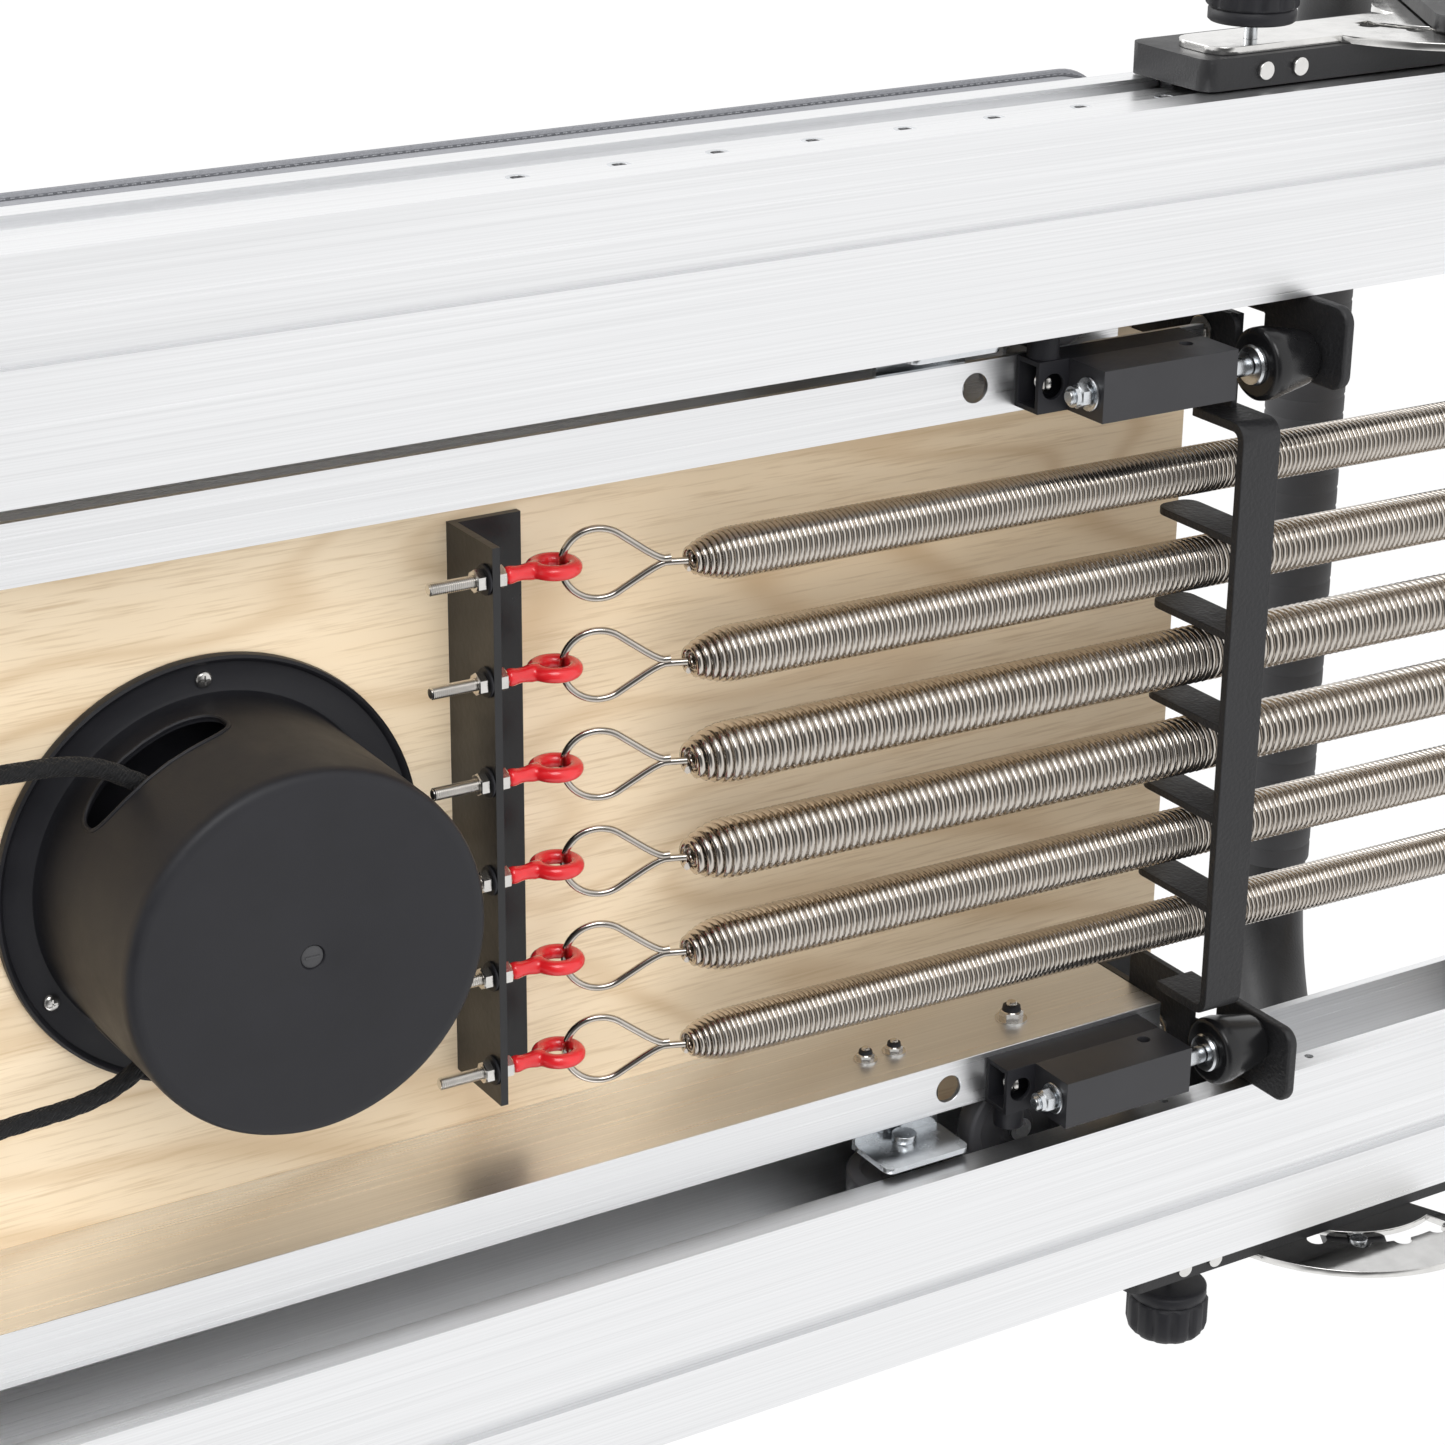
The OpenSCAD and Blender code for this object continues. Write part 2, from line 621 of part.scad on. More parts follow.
// The headrest's foot end leans back from the mat, over the hinge rod that it tilts on.
hinge_x = -744;
hinge_z = board_t + 3.8;
head_half = 61;
module headrest() color("#77797d") datum() {
    difference() {
        translate([0, 0, board_t + 0.3]) plate(-957, -head_half, hinge_x - 1, head_half, 25, mat_t);
        translate([hinge_x - 1, -100, board_t]) rotate([0, -16, 0]) cube([60, 200, 80]);
    }
    along_y(hinge_x, -head_half + 26, hinge_z, 6, 2 * head_half - 52);
}

// ---------------------------------------------------------------- footbar

// Slide blocks on the rails' outer sides, each with a tongue in the rail's groove.
knob_x = first_hole + 8 * hole_pitch;
slide_x = [-75, 190];
module trolley_slides() color(black) datum() both() difference() {
    union() {
        plate_xz(slide_x[0], -92, slide_x[1], -30, 8, rail_out + 1, plate_y - rail_out - 1);
        box([slide_x[0] + 10, slide_x[1] - 10], [rail_out - 5, rail_out + 1], [-54, -44.5]);
    }
    along_y(knob_x, rail_out - 10, hole_z, 6.8, 40);
    along_y(pivot[0], rail_out - 10, pivot[1], 12, 40);
}

// A bright plate with a bar out to the knob and a notched sector under the pivot.
module ring_sector(inner, outer, from, sweep, t)
    rotate([0, 0, from]) rotate_extrude(angle = sweep, $fn = 96)
        translate([inner, 0]) square([outer - inner, t]);
module sector_plates() color("#c9ccce") datum() both() {
    translate([0, plate_y + plate_t, 0]) rotate([90, 0, 0]) difference() {
        union() {
            plate(-64, -87, 70, -48, 12, plate_t);
            translate([pivot[0], pivot[1], 0]) {
                cylinder(r = 34, h = plate_t);
                ring_sector(20, 104, 186, 108, plate_t);
            }
        }
        translate([pivot[0], pivot[1], -1]) {
            ring_sector(notch_r - 12, notch_r, 192, 95, plate_t + 2);
            for (a = [-2 : 2]) rotate([0, 0, 270 - lean + a * notch_step])
                translate([notch_r, 0, 0]) cylinder(r = pin_r + 0.4, h = plate_t + 2);
            cylinder(d = 12, h = plate_t + 2);
        }
        translate([knob_x, hole_z, -1]) cylinder(d = 6.8, h = plate_t + 2);
    }
    along_y(pivot[0], rail_out + 3, pivot[1], 12, 26.5);
    along_y(pivot[0], rail_out + 29.5, pivot[1], 22, 5);
    for (x = [-39.5, -18]) translate([x, rail_out + 9, -94.5]) cylinder(d = 9, h = 2.5);
}

// The footbar's frame: z runs from the pivot out along the arms.
module on_footbar() datum() translate([pivot[0], 0, pivot[1]]) rotate([0, lean, 0]) children();
bend_r = 90;
lug_y = plate_y + plate_t + 0.8;
lug_t = 8;
tube_from = 132;
module footbar() color(black) on_footbar() {
    translate([0, -arm_y + bend_r, footbar_reach]) rotate([-90, 0, 0])
        cylinder(d = footbar_d, h = 2 * (arm_y - bend_r));
    both() {
        translate([0, arm_y - bend_r, footbar_reach - bend_r]) rotate([90, 0, 90])
            rotate_extrude(angle = 90, $fn = 64) translate([bend_r, 0])
                circle(d = footbar_d, $fn = 48);
        translate([0, arm_y, tube_from])
            cylinder(d = footbar_d, h = footbar_reach - bend_r - tube_from);
        difference() {
            plate_xz(-17, -notch_r - 12, 17, tube_from + 30, 16, lug_y, lug_t);
            along_y(0, lug_y - 1, 0, 12.1, lug_t + 2);
            box([-pin_r - 0.05, pin_r + 0.05], [lug_y - 1, lug_y + lug_t + 1],
                [-notch_r - pin_r - 0.5, -notch_r + 7 + pin_r]);
        }
    }
}
module footbar_grip() color(charcoal) on_footbar()
    translate([0, -arm_y + bend_r + 8, footbar_reach]) rotate([-90, 0, 0]) difference() {
        cylinder(d = footbar_d + 3.5, h = 2 * (arm_y - bend_r - 8));
        translate([0, 0, -1]) cylinder(d = footbar_d, h = 2 * (arm_y - bend_r));
    }
latch_rest = notch_r - 6.5;
module latch_pin(s) color(zinc) on_footbar() scale_y(s) {
    along_y(0, plate_y + 0.4, -latch_rest, 2 * pin_r, lug_y + lug_t - plate_y + 0.4);
    along_y(0, lug_y + lug_t + 0.4, -latch_rest, 20, 5);
}
module latch_pin_left() latch_pin(1);
module latch_pin_right() latch_pin(-1);

// Pull knobs and their locking pins, drawn back clear of the rails' holes.
pull = 8;
module pull_knob(s) color(black) datum() scale_y(s) {
    along_y(knob_x, rail_out - 1.6, hole_z, 6.6, 40);
    translate([knob_x, plate_y + plate_t + pull + 0.5, hole_z]) rotate([-90, 0, 0])
        difference() {
            union() {
                cylinder(d = 46, h = 26);
                translate([0, 0, 26]) cylinder(d1 = 46, d2 = 34, h = 6);
            }
            for (a = [0 : 30 : 330]) rotate([0, 0, a])
                translate([27, 0, -1]) cylinder(d = 11, h = 22);
        }
}
module pull_knob_left() pull_knob(1);
module pull_knob_right() pull_knob(-1);

rail_left();
rail_right();
rail_end_caps();
foot_crossmember();
head_crossmember();
legs();
levelling_feet();
frame_bolts();
spring_bar();
standing_platform();
platform_pad();
stop_brackets();
riser_posts();
pulley_yoke_left();
pulley_yoke_right();
pulley_wheel_left();
pulley_wheel_right();
board();
mat();
channel_left();
channel_right();
carriage_fasteners();
spring_anchor();
eyebolts();
eye_rings();
springs_light();
springs_medium();
springs_heavy();
comb();
comb_hangers();
bumper_carriers();
bumper_blocks();
bumper_rods();
bumpers();
wheel_brackets();
axle_bolts();
reel_housing();
reel_spool();
ropes();
hand_loops();
carriage_sockets();
front_wheels();
rear_wheels();
guide_roller_front_left();
guide_roller_front_right();
guide_roller_rear_left();
guide_roller_rear_right();
shoulder_post_left();
shoulder_post_right();
shoulder_pad_left();
shoulder_pad_right();
headrest();
trolley_slides();
sector_plates();
footbar();
footbar_grip();
latch_pin_left();
latch_pin_right();
pull_knob_left();
pull_knob_right();
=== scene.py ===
"""Looks for a Pilates reformer: finishes for every part, and the pieces that need finer shapes.

Run as a script. Sizes are in metres in the part's own frame, and every piece rides on one of
its bodies, so that the carriage, the footbar and the wheels can all be moved.
"""

import math

import bmesh
import bpy
from mathutils import Matrix, Vector


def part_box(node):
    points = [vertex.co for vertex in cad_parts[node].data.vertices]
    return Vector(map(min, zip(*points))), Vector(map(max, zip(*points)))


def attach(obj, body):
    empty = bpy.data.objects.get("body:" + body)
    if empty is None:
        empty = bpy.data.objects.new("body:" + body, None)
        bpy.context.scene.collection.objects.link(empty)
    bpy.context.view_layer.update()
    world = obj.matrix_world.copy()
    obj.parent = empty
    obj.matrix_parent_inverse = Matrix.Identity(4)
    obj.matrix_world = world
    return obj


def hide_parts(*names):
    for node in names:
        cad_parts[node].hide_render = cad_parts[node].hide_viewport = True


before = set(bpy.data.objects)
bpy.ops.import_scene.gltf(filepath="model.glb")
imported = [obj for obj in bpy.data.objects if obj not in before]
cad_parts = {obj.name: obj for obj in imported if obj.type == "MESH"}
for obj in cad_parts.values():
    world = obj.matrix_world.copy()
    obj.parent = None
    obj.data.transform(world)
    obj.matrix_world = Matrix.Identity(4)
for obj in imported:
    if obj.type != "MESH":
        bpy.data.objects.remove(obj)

bl_info = {
    "name": "Pilates reformer",
    "version": (1, 0, 0),
    "blender": (4, 5, 0),
    "location": "3D view > Sidebar > Reformer",
    "description": "Builds the finishes, springs, upholstery and fittings of a Pilates reformer",
    "category": "Object",
}

MM = 0.001
TAU = math.tau
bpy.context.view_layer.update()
BOARD_LOW, BOARD_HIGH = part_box("board")
# The carriage board's foot edge, on its underside: every fitting is placed from here.
DATUM = Vector((BOARD_HIGH.x, 0.0, BOARD_LOW.z))
SIDES = {"left": 1, "right": -1}
# The row of lock holes in each rail: its place and pitch in millimetres from the datum, and
# how far, in metres, the strip that holds it is let into the rail.
LOCK_HOLES = 13
FIRST_LOCK = -439.4
LOCK_PITCH = 50.8
LOCK_Z = -72.5
LOCK_RECESS = 0.003


# ---------------------------------------------------------------- settings


class SpringSettings(bpy.types.PropertyGroup):
    """Sizes of the six springs."""

    pitch: bpy.props.FloatProperty(
        name="Spacing",
        description="Distance between neighbouring springs",
        default=0.0508,
        unit="LENGTH",
    )
    coil_length: bpy.props.FloatProperty(
        name="Coil length",
        description="Length of a spring's close coils",
        default=0.595,
        unit="LENGTH",
    )
    light: bpy.props.FloatVectorProperty(
        name="Light spring",
        description="Outer diameter, wire diameter and distance between turns",
        default=(0.0252, 0.0029, 0.00293),
        size=3,
        unit="LENGTH",
    )
    medium: bpy.props.FloatVectorProperty(
        name="Medium spring",
        description="Outer diameter, wire diameter and distance between turns",
        default=(0.0276, 0.0034, 0.00345),
        size=3,
        unit="LENGTH",
    )
    heavy: bpy.props.FloatVectorProperty(
        name="Heavy spring",
        description="Outer diameter, wire diameter and distance between turns",
        default=(0.0306, 0.0042, 0.00424),
        size=3,
        unit="LENGTH",
    )
    fall: bpy.props.FloatProperty(
        name="Fall",
        description="Slope of the springs towards the foot end",
        default=math.radians(1.75),
        subtype="ANGLE",
    )


class CushionSettings(bpy.types.PropertyGroup):
    """How the upholstery is filled."""

    voxel: bpy.props.FloatProperty(
        name="Cloth detail",
        description="Distance between the cloth's points",
        default=0.006,
        unit="LENGTH",
    )
    pressure: bpy.props.FloatProperty(
        name="Filling pressure",
        description="Pressure of the foam against the cover",
        default=4.0,
    )
    swell: bpy.props.FloatProperty(
        name="Most swell",
        description="Furthest that the cover may move out from its pattern",
        default=0.0045,
        unit="LENGTH",
    )
    piping: bpy.props.FloatProperty(
        name="Piping",
        description="Diameter of the piping in the seams",
        default=0.0042,
        unit="LENGTH",
    )


class FinishSettings(bpy.types.PropertyGroup):
    """Colours of the main finishes."""

    aluminium: bpy.props.FloatVectorProperty(
        name="Aluminium",
        description="Colour of the anodised rails",
        subtype="COLOR",
        default=(0.91, 0.915, 0.925),
    )
    coating: bpy.props.FloatVectorProperty(
        name="Powder coat",
        description="Colour of the coated steel",
        subtype="COLOR",
        default=(0.011, 0.011, 0.012),
    )
    maple: bpy.props.FloatVectorProperty(
        name="Maple",
        description="Colour of the board's veneer",
        subtype="COLOR",
        default=(0.80, 0.665, 0.485),
    )
    vinyl: bpy.props.FloatVectorProperty(
        name="Vinyl",
        description="Colour of the upholstery",
        subtype="COLOR",
        default=(0.23, 0.235, 0.255),
    )
    eye: bpy.props.FloatVectorProperty(
        name="Dipped eyes",
        description="Colour of the dipped vinyl on the eyebolts",
        subtype="COLOR",
        default=(0.47, 0.010, 0.014),
    )


class StageSettings(bpy.types.PropertyGroup):
    """Camera and light."""

    lens: bpy.props.FloatProperty(
        name="Lens",
        description="Focal length of the camera in millimetres",
        default=85.9,
    )
    sky: bpy.props.FloatProperty(
        name="Studio walls",
        description="Brightness of the white walls around the stage",
        default=1.02,
    )
    key: bpy.props.FloatProperty(
        name="Key light",
        description="Power of the large soft light in watts",
        default=34.0,
    )


class ReformerSettings(bpy.types.PropertyGroup):
    """Everything that a user may change."""

    springs: bpy.props.PointerProperty(type=SpringSettings)
    cushions: bpy.props.PointerProperty(type=CushionSettings)
    finishes: bpy.props.PointerProperty(type=FinishSettings)
    stage: bpy.props.PointerProperty(type=StageSettings)


# ---------------------------------------------------------------- shapes


def at(x, y, z):
    """A place given in millimetres from the datum."""
    return DATUM + Vector((x, y, z)) * MM


def tube(path, radius, sides=12, closed=False, relief=None):
    """Points and faces of a round tube along a path, with an optional relief(ring, turn)."""
    count = len(path)
    points = []
    side = None
    for i, point in enumerate(path):
        before = path[i - 1] if closed or i > 0 else point
        after = path[(i + 1) % count] if closed or i < count - 1 else point
        heading = (after - before).normalized()
        if side is None:
            side = heading.orthogonal()
        side = (side - heading * side.dot(heading)).normalized()
        other = heading.cross(side)
        for j in range(sides):
            turn = TAU * j / sides
            reach = radius + (relief(i, turn) if relief else 0.0)
            points.append(point + (side * math.cos(turn) + other * math.sin(turn)) * reach)
    faces = ring_faces(count, sides, closed)
    if not closed:
        faces.append(list(range(sides))[::-1])
        faces.append([(count - 1) * sides + j for j in range(sides)])
    return points, faces


def ring_faces(count, sides, closed=False):
    """Faces that join rings of the same number of points."""
    faces = []
    for i in range(count if closed else count - 1):
        a = i * sides
        b = (i + 1) % count * sides
        for j in range(sides):
            k = (j + 1) % sides
            faces.append([a + j, a + k, b + k, b + j])
    return faces


def lathe(profile, centre, axis=(0, 0, 1), steps=48, closed=False):
    """A turned shape: profile holds (radius, height along the axis), in metres."""
    turn_to = Vector((0, 0, 1)).rotation_difference(Vector(axis)).to_matrix()
    points = []
    for radius, height in profile:
        for j in range(steps):
            turn = TAU * j / steps
            arm = Vector((math.cos(turn) * radius, math.sin(turn) * radius, height))
            points.append(centre + turn_to @ arm)
    faces = ring_faces(len(profile), steps, closed)
    if not closed:
        faces.append(list(range(steps))[::-1])
        faces.append([(len(profile) - 1) * steps + j for j in range(steps)])
    return points, faces


def turned(profile, centre, axis=(0, 0, 1), steps=48, closed=False):
    """A turned shape whose profile is in millimetres."""
    return lathe([(r * MM, h * MM) for r, h in profile], centre, axis, steps, closed)


def hexagon_nut(centre, axis, flats, height, bore):
    """A nut with chamfered corners and a bore, standing on centre."""
    corner = flats / math.sqrt(3)
    cut = 0.12 * height
    turn_to = Vector((0, 0, 1)).rotation_difference(Vector(axis)).to_matrix()
    rings = [
        (bore / 2, 0.0, 0),
        (flats * 0.47, 0.0, 0),
        (corner, cut, 1),
        (corner, height - cut, 1),
        (flats * 0.47, height, 0),
        (bore / 2 + 0.0003, height, 0),
        (bore / 2, height - 0.0004, 0),
    ]
    steps = 24
    points = []
    for radius, rise, angular in rings:
        for j in range(steps):
            turn = TAU * j / steps
            within = math.cos((turn + TAU / 12) % (TAU / 6) - TAU / 12)
            reach = min(radius, flats / 2 / within) if angular else radius
            arm = Vector((math.cos(turn) * reach, math.sin(turn) * reach, rise))
            points.append(centre + turn_to @ arm)
    return points, ring_faces(len(rings), steps, closed=True)


def threads(radius, length, pitch, start=0.0):
    """The profile of a threaded rod with a chamfer at each end."""
    depth = 0.55 * pitch
    profile = [(0.0, start), (radius - depth * 1.3, start)]
    turns = int(length / pitch)
    for i in range(turns):
        profile.append((radius - depth, start + (i + 0.30) * pitch))
        profile.append((radius, start + (i + 0.65) * pitch))
        profile.append((radius, start + (i + 0.85) * pitch))
    profile += [(radius - depth * 1.3, start + length), (0.0, start + length)]
    return profile


def slab(low, high):
    """A box between two corners."""
    points = [Vector((x, y, z)) for x in (low.x, high.x) for y in (low.y, high.y)
              for z in (low.z, high.z)]
    faces = [[0, 1, 3, 2], [4, 6, 7, 5], [0, 4, 5, 1], [2, 3, 7, 6], [0, 2, 6, 4], [1, 5, 7, 3]]
    return points, faces


def rounded_loop(low, high, radius, height, steps=10, inset=0.0):
    """Points round a rectangle with rounded corners, at one height."""
    path = []
    corners = [
        (high.x - radius, high.y - radius, 0.0),
        (low.x + radius, high.y - radius, TAU / 4),
        (low.x + radius, low.y + radius, TAU / 2),
        (high.x - radius, low.y + radius, TAU * 3 / 4),
    ]
    for x, y, first in corners:
        for i in range(steps + 1):
            turn = first + TAU / 4 * i / steps
            reach = radius - inset
            path.append(Vector((x + math.cos(turn) * reach, y + math.sin(turn) * reach, height)))
    return path


def spread(path, step, closed=False):
    """The same path with points at an even distance."""
    ends = path + [path[0]] if closed else list(path)
    marks = [0.0]
    for a, b in zip(ends, ends[1:]):
        marks.append(marks[-1] + (b - a).length)
    count = max(2, round(marks[-1] / step))
    points = []
    i = 0
    for k in range(count if closed else count + 1):
        mark = marks[-1] * k / count
        while i < len(marks) - 2 and marks[i + 1] < mark:
            i += 1
        span = marks[i + 1] - marks[i]
        points.append(ends[i].lerp(ends[i + 1], (mark - marks[i]) / span if span else 0.0))
    return points


def rounded_path(path, rounds=3):
    """The same open path with its corners cut into a smooth curve."""
    for _ in range(rounds):
        cut = [path[0]]
        for a, b in zip(path, path[1:]):
            cut += [a.lerp(b, 0.25), a.lerp(b, 0.75)]
        path = cut + [path[-1]]
    return path


def fresh_mesh(name, parts, angle=35.0):
    """One mesh from several (points, faces) parts, smooth across shallow edges."""
    shape = bmesh.new()
    for points, faces in parts:
        corners = [shape.verts.new(point) for point in points]
        for face in faces:
            shape.faces.new([corners[i] for i in face])
    bmesh.ops.remove_doubles(shape, verts=shape.verts, dist=1e-6)
    bmesh.ops.dissolve_degenerate(shape, dist=1e-7, edges=shape.edges)
    bmesh.ops.recalc_face_normals(shape, faces=shape.faces)
    mesh = bpy.data.meshes.new(name)
    shape.to_mesh(mesh)
    shape.free()
    mesh.shade_smooth()
    mesh.set_sharp_from_angle(angle=math.radians(angle))
    return mesh


def place(name, parts, finish, body, replaces=(), angle=35.0):
    """A new piece with one finish, riding on a body."""
    mesh = parts if isinstance(parts, bpy.types.Mesh) else fresh_mesh(name, parts, angle)
    piece = bpy.data.objects.new(name, mesh)
    bpy.context.scene.collection.objects.link(piece)
    piece.data.materials.append(finish)
    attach(piece, body)
    if replaces:
        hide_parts(*replaces)
    return piece


def baked(name, mesh, modifiers):
    """The mesh as it stands after modifiers, each given as (kind, {property: value})."""
    stand_in = bpy.data.objects.new(name + "_pattern", mesh)
    bpy.context.scene.collection.objects.link(stand_in)
    for kind, values in modifiers:
        modifier = stand_in.modifiers.new(kind.title(), kind)
        for key, value in values.items():
            setattr(modifier, key, value)
    bpy.context.view_layer.update()
    graph = bpy.context.evaluated_depsgraph_get()
    result = bpy.data.meshes.new_from_object(stand_in.evaluated_get(graph))
    bpy.data.objects.remove(stand_in)
    result.name = name
    return result


def soften(thing, width=0.0006, segments=2):
    """Rounds the sharp edges of a part without touching its own mesh."""
    weld = thing.modifiers.new("Weld", "WELD")
    weld.merge_threshold = 1e-6
    flat = thing.modifiers.new("Flat faces", "DECIMATE")
    flat.decimate_type = "DISSOLVE"
    flat.angle_limit = math.radians(1.0)
    edge = thing.modifiers.new("Rounded edges", "BEVEL")
    edge.width = width
    edge.segments = segments
    edge.limit_method = "ANGLE"
    edge.angle_limit = math.radians(32)
    edge.harden_normals = True
    edge.use_clamp_overlap = True


# ---------------------------------------------------------------- finishes


class Finish:
    """A material made of procedural nodes around one shader."""

    def __init__(self, name, colour, metallic=0.0, roughness=0.5, **sockets):
        self.material = bpy.data.materials.new(name)
        self.material.use_nodes = True
        self.tree = self.material.node_tree
        self.shader = self.tree.nodes["Principled BSDF"]
        self.colour = (*colour[:3], 1.0)
        self.shader.inputs["Base Color"].default_value = self.colour
        self.shader.inputs["Metallic"].default_value = metallic
        self.shader.inputs["Roughness"].default_value = roughness
        for key, value in sockets.items():
            label = key.replace("_", " ").title().replace("Ior", "IOR")
            self.shader.inputs[label].default_value = value
        self.coordinates = self.tree.nodes.new("ShaderNodeTexCoord").outputs["Object"]
        self.last_bump = None

    def node(self, kind, links=(), values=(), **properties):
        """A node with some of its inputs linked and some set."""
        node = self.tree.nodes.new(kind)
        for key, value in properties.items():
            setattr(node, key, value)
        for key, value in values:
            node.inputs[key].default_value = value
        for key, socket in links:
            self.tree.links.new(socket, node.inputs[key])
        return node

    def stretched(self, scale):
        """The part's own coordinates, scaled along each axis."""
        return self.node("ShaderNodeMapping", [("Vector", self.coordinates)],
                         [("Scale", scale)]).outputs["Vector"]

    def noise(self, scale, detail=3.0, roughness=0.55, distortion=0.0):
        """Noise between 0 and 1 whose grain is given per metre along each axis."""
        return self.node(
            "ShaderNodeTexNoise",
            [("Vector", self.stretched(scale))],
            [("Scale", 1.0), ("Detail", detail), ("Roughness", roughness),
             ("Distortion", distortion)],
        ).outputs["Fac"]

    def maths(self, kind, a, b=0.0, c=0.0):
        """One sum on sockets or numbers."""
        node = self.node("ShaderNodeMath", operation=kind)
        for i, value in enumerate((a, b, c)):
            if isinstance(value, (int, float)):
                node.inputs[i].default_value = value
            else:
                self.tree.links.new(value, node.inputs[i])
        return node.outputs[0]

    def between(self, socket, low, high, start=0.3, end=0.7):
        """The socket's values from start to end, spread from low to high."""
        return self.node(
            "ShaderNodeMapRange",
            [("Value", socket)],
            [("From Min", start), ("From Max", end), ("To Min", low), ("To Max", high)],
        ).outputs["Result"]

    def tint(self, socket, colour, base=None):
        """Mixes another colour in where the socket is high, and returns the mix."""
        mix = self.node("ShaderNodeMix", data_type="RGBA")
        mix.inputs[6].default_value = self.colour
        if base is not None:
            self.tree.links.new(base, mix.inputs[6])
        mix.inputs[7].default_value = (*colour[:3], 1.0)
        self.tree.links.new(socket, mix.inputs[0])
        self.tree.links.new(mix.outputs[2], self.shader.inputs["Base Color"])
        return mix.outputs[2]

    def gloss(self, socket):
        """Lets a socket drive the roughness."""
        self.tree.links.new(socket, self.shader.inputs["Roughness"])

    def bump(self, socket, depth, strength=1.0):
        """Raises the surface by a depth in metres where the socket is high."""
        links = [("Height", socket)]
        if self.last_bump:
            links.append(("Normal", self.last_bump))
        node = self.node("ShaderNodeBump", links,
                         [("Distance", depth), ("Strength", strength)])
        self.last_bump = node.outputs["Normal"]
        self.tree.links.new(self.last_bump, self.shader.inputs["Normal"])


def brushed(name, colour, roughness, grain, bore_shade=False):
    """Metal brushed along its length: grain is the noise scale along X, Y and Z. When asked,
    painted shade darkens the walls of the rails' lock holes.
    """
    finish = Finish(name, colour, 1.0, roughness)
    streaks = finish.noise(grain, 4.0, 0.65)
    drift = finish.noise((1.3, 5.0, 5.0), 2.0)
    finish.gloss(finish.maths("ADD", finish.between(streaks, roughness - 0.05, roughness + 0.07),
                              finish.between(drift, -0.02, 0.03)))
    metal = finish.tint(finish.between(streaks, 0.0, 0.8), [part * 0.84 for part in colour])
    # Painted shade: the walls of the rails' lock holes are tinted dark grey, as if in shadow.
    if bore_shade:
        shade = finish.maths("MULTIPLY", painted_bore_shade(finish), 0.85)
        finish.tint(shade, (0.12, 0.12, 0.125), metal)
    finish.bump(streaks, 0.00005)
    return finish.material


def painted_bore_shade(finish):
    """Painted shade mask: 1 on the walls of the rails' lock holes and 0 on every face around them.
    """
    axes = finish.node("ShaderNodeSeparateXYZ", [("Vector", finish.coordinates)]).outputs
    low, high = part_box("pull_knob_left")
    row = (low.z + high.z) / 2
    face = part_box("rail_left")[1].y - LOCK_RECESS - 0.0002
    level = finish.maths("LESS_THAN", finish.maths("ABSOLUTE", finish.maths(
        "SUBTRACT", axes[2], row)), 0.0045)
    depth = finish.maths("ABSOLUTE", axes[1])
    behind = finish.maths("LESS_THAN", depth, face)
    near = finish.maths("GREATER_THAN", depth, face - 0.02)
    return finish.maths("MULTIPLY", level, finish.maths("MULTIPLY", behind, near))


def powder_coat(name, colour, roughness=0.46, texture=0.00016, grain=650.0):
    """Baked powder: a fine orange peel with a few thin and dusty patches."""
    finish = Finish(name, colour, 0.0, roughness, specular_ior_level=0.45)
    peel = finish.noise((grain,) * 3, 2.0, 0.5)
    patch = finish.noise((26.0,) * 3, 4.0, 0.6)
    finish.gloss(finish.between(patch, roughness - 0.08, roughness + 0.1))
    finish.tint(finish.between(patch, 0.0, 0.6, 0.45, 0.8), [part * 2.0 for part in colour])
    finish.bump(peel, texture)
    return finish.material


def moulded(name, colour, roughness=0.42, texture=0.00005, **sockets):
    """Moulded plastic or rubber with a faint grain and handling marks."""
    finish = Finish(name, colour, 0.0, roughness, **sockets)
    grain = finish.noise((1400.0,) * 3, 2.0)
    marks = finish.noise((38.0,) * 3, 5.0, 0.65)
    finish.gloss(finish.between(marks, roughness - 0.05, roughness + 0.07))
    finish.tint(finish.between(marks, 0.0, 0.5), [part * 1.5 + 0.002 for part in colour])
    finish.bump(grain, texture)
    return finish.material


def plated(name, colour, roughness, mottle=0.08):
    """Plated metal with slight clouding."""
    finish = Finish(name, colour, 1.0, roughness)
    cloud = finish.noise((95.0,) * 3, 4.0, 0.6)
    wear = finish.noise((900.0,) * 3, 2.0)
    finish.gloss(finish.between(cloud, max(0.04, roughness - mottle), roughness + mottle))
    finish.tint(finish.between(cloud, 0.0, 0.6), [part * 0.8 for part in colour])
    finish.bump(wear, 0.00001)
    return finish.material


def veneer(name, colour):
    """Rotary cut maple: long bands, thin growth lines and short dark flecks along X."""
    finish = Finish(name, colour, 0.0, 0.42, specular_ior_level=0.4)
    swirl = finish.noise((1.7, 7.5, 7.5), 2.0, 0.45, 0.35)
    rings = finish.maths("SINE", finish.maths("MULTIPLY", swirl, 74.0))
    lines = finish.maths("POWER", finish.between(rings, 0.0, 1.0, -1.0, 1.0), 5.0)
    band = finish.noise((1.1, 21.0, 21.0), 3.0, 0.5)
    fleck = finish.noise((26.0, 640.0, 640.0), 3.0, 0.55)
    pale = finish.tint(finish.between(band, 0.0, 0.6), (0.72, 0.565, 0.375))
    grown = finish.maths("MULTIPLY", lines, finish.between(band, 0.2, 0.75))
    lined = finish.tint(grown, (0.56, 0.40, 0.235), pale)
    finish.tint(finish.between(fleck, 0.0, 0.6, 0.5, 0.72), (0.54, 0.39, 0.235), lined)
    finish.gloss(finish.between(fleck, 0.36, 0.5))
    finish.bump(fleck, 0.00003)
    return finish.material


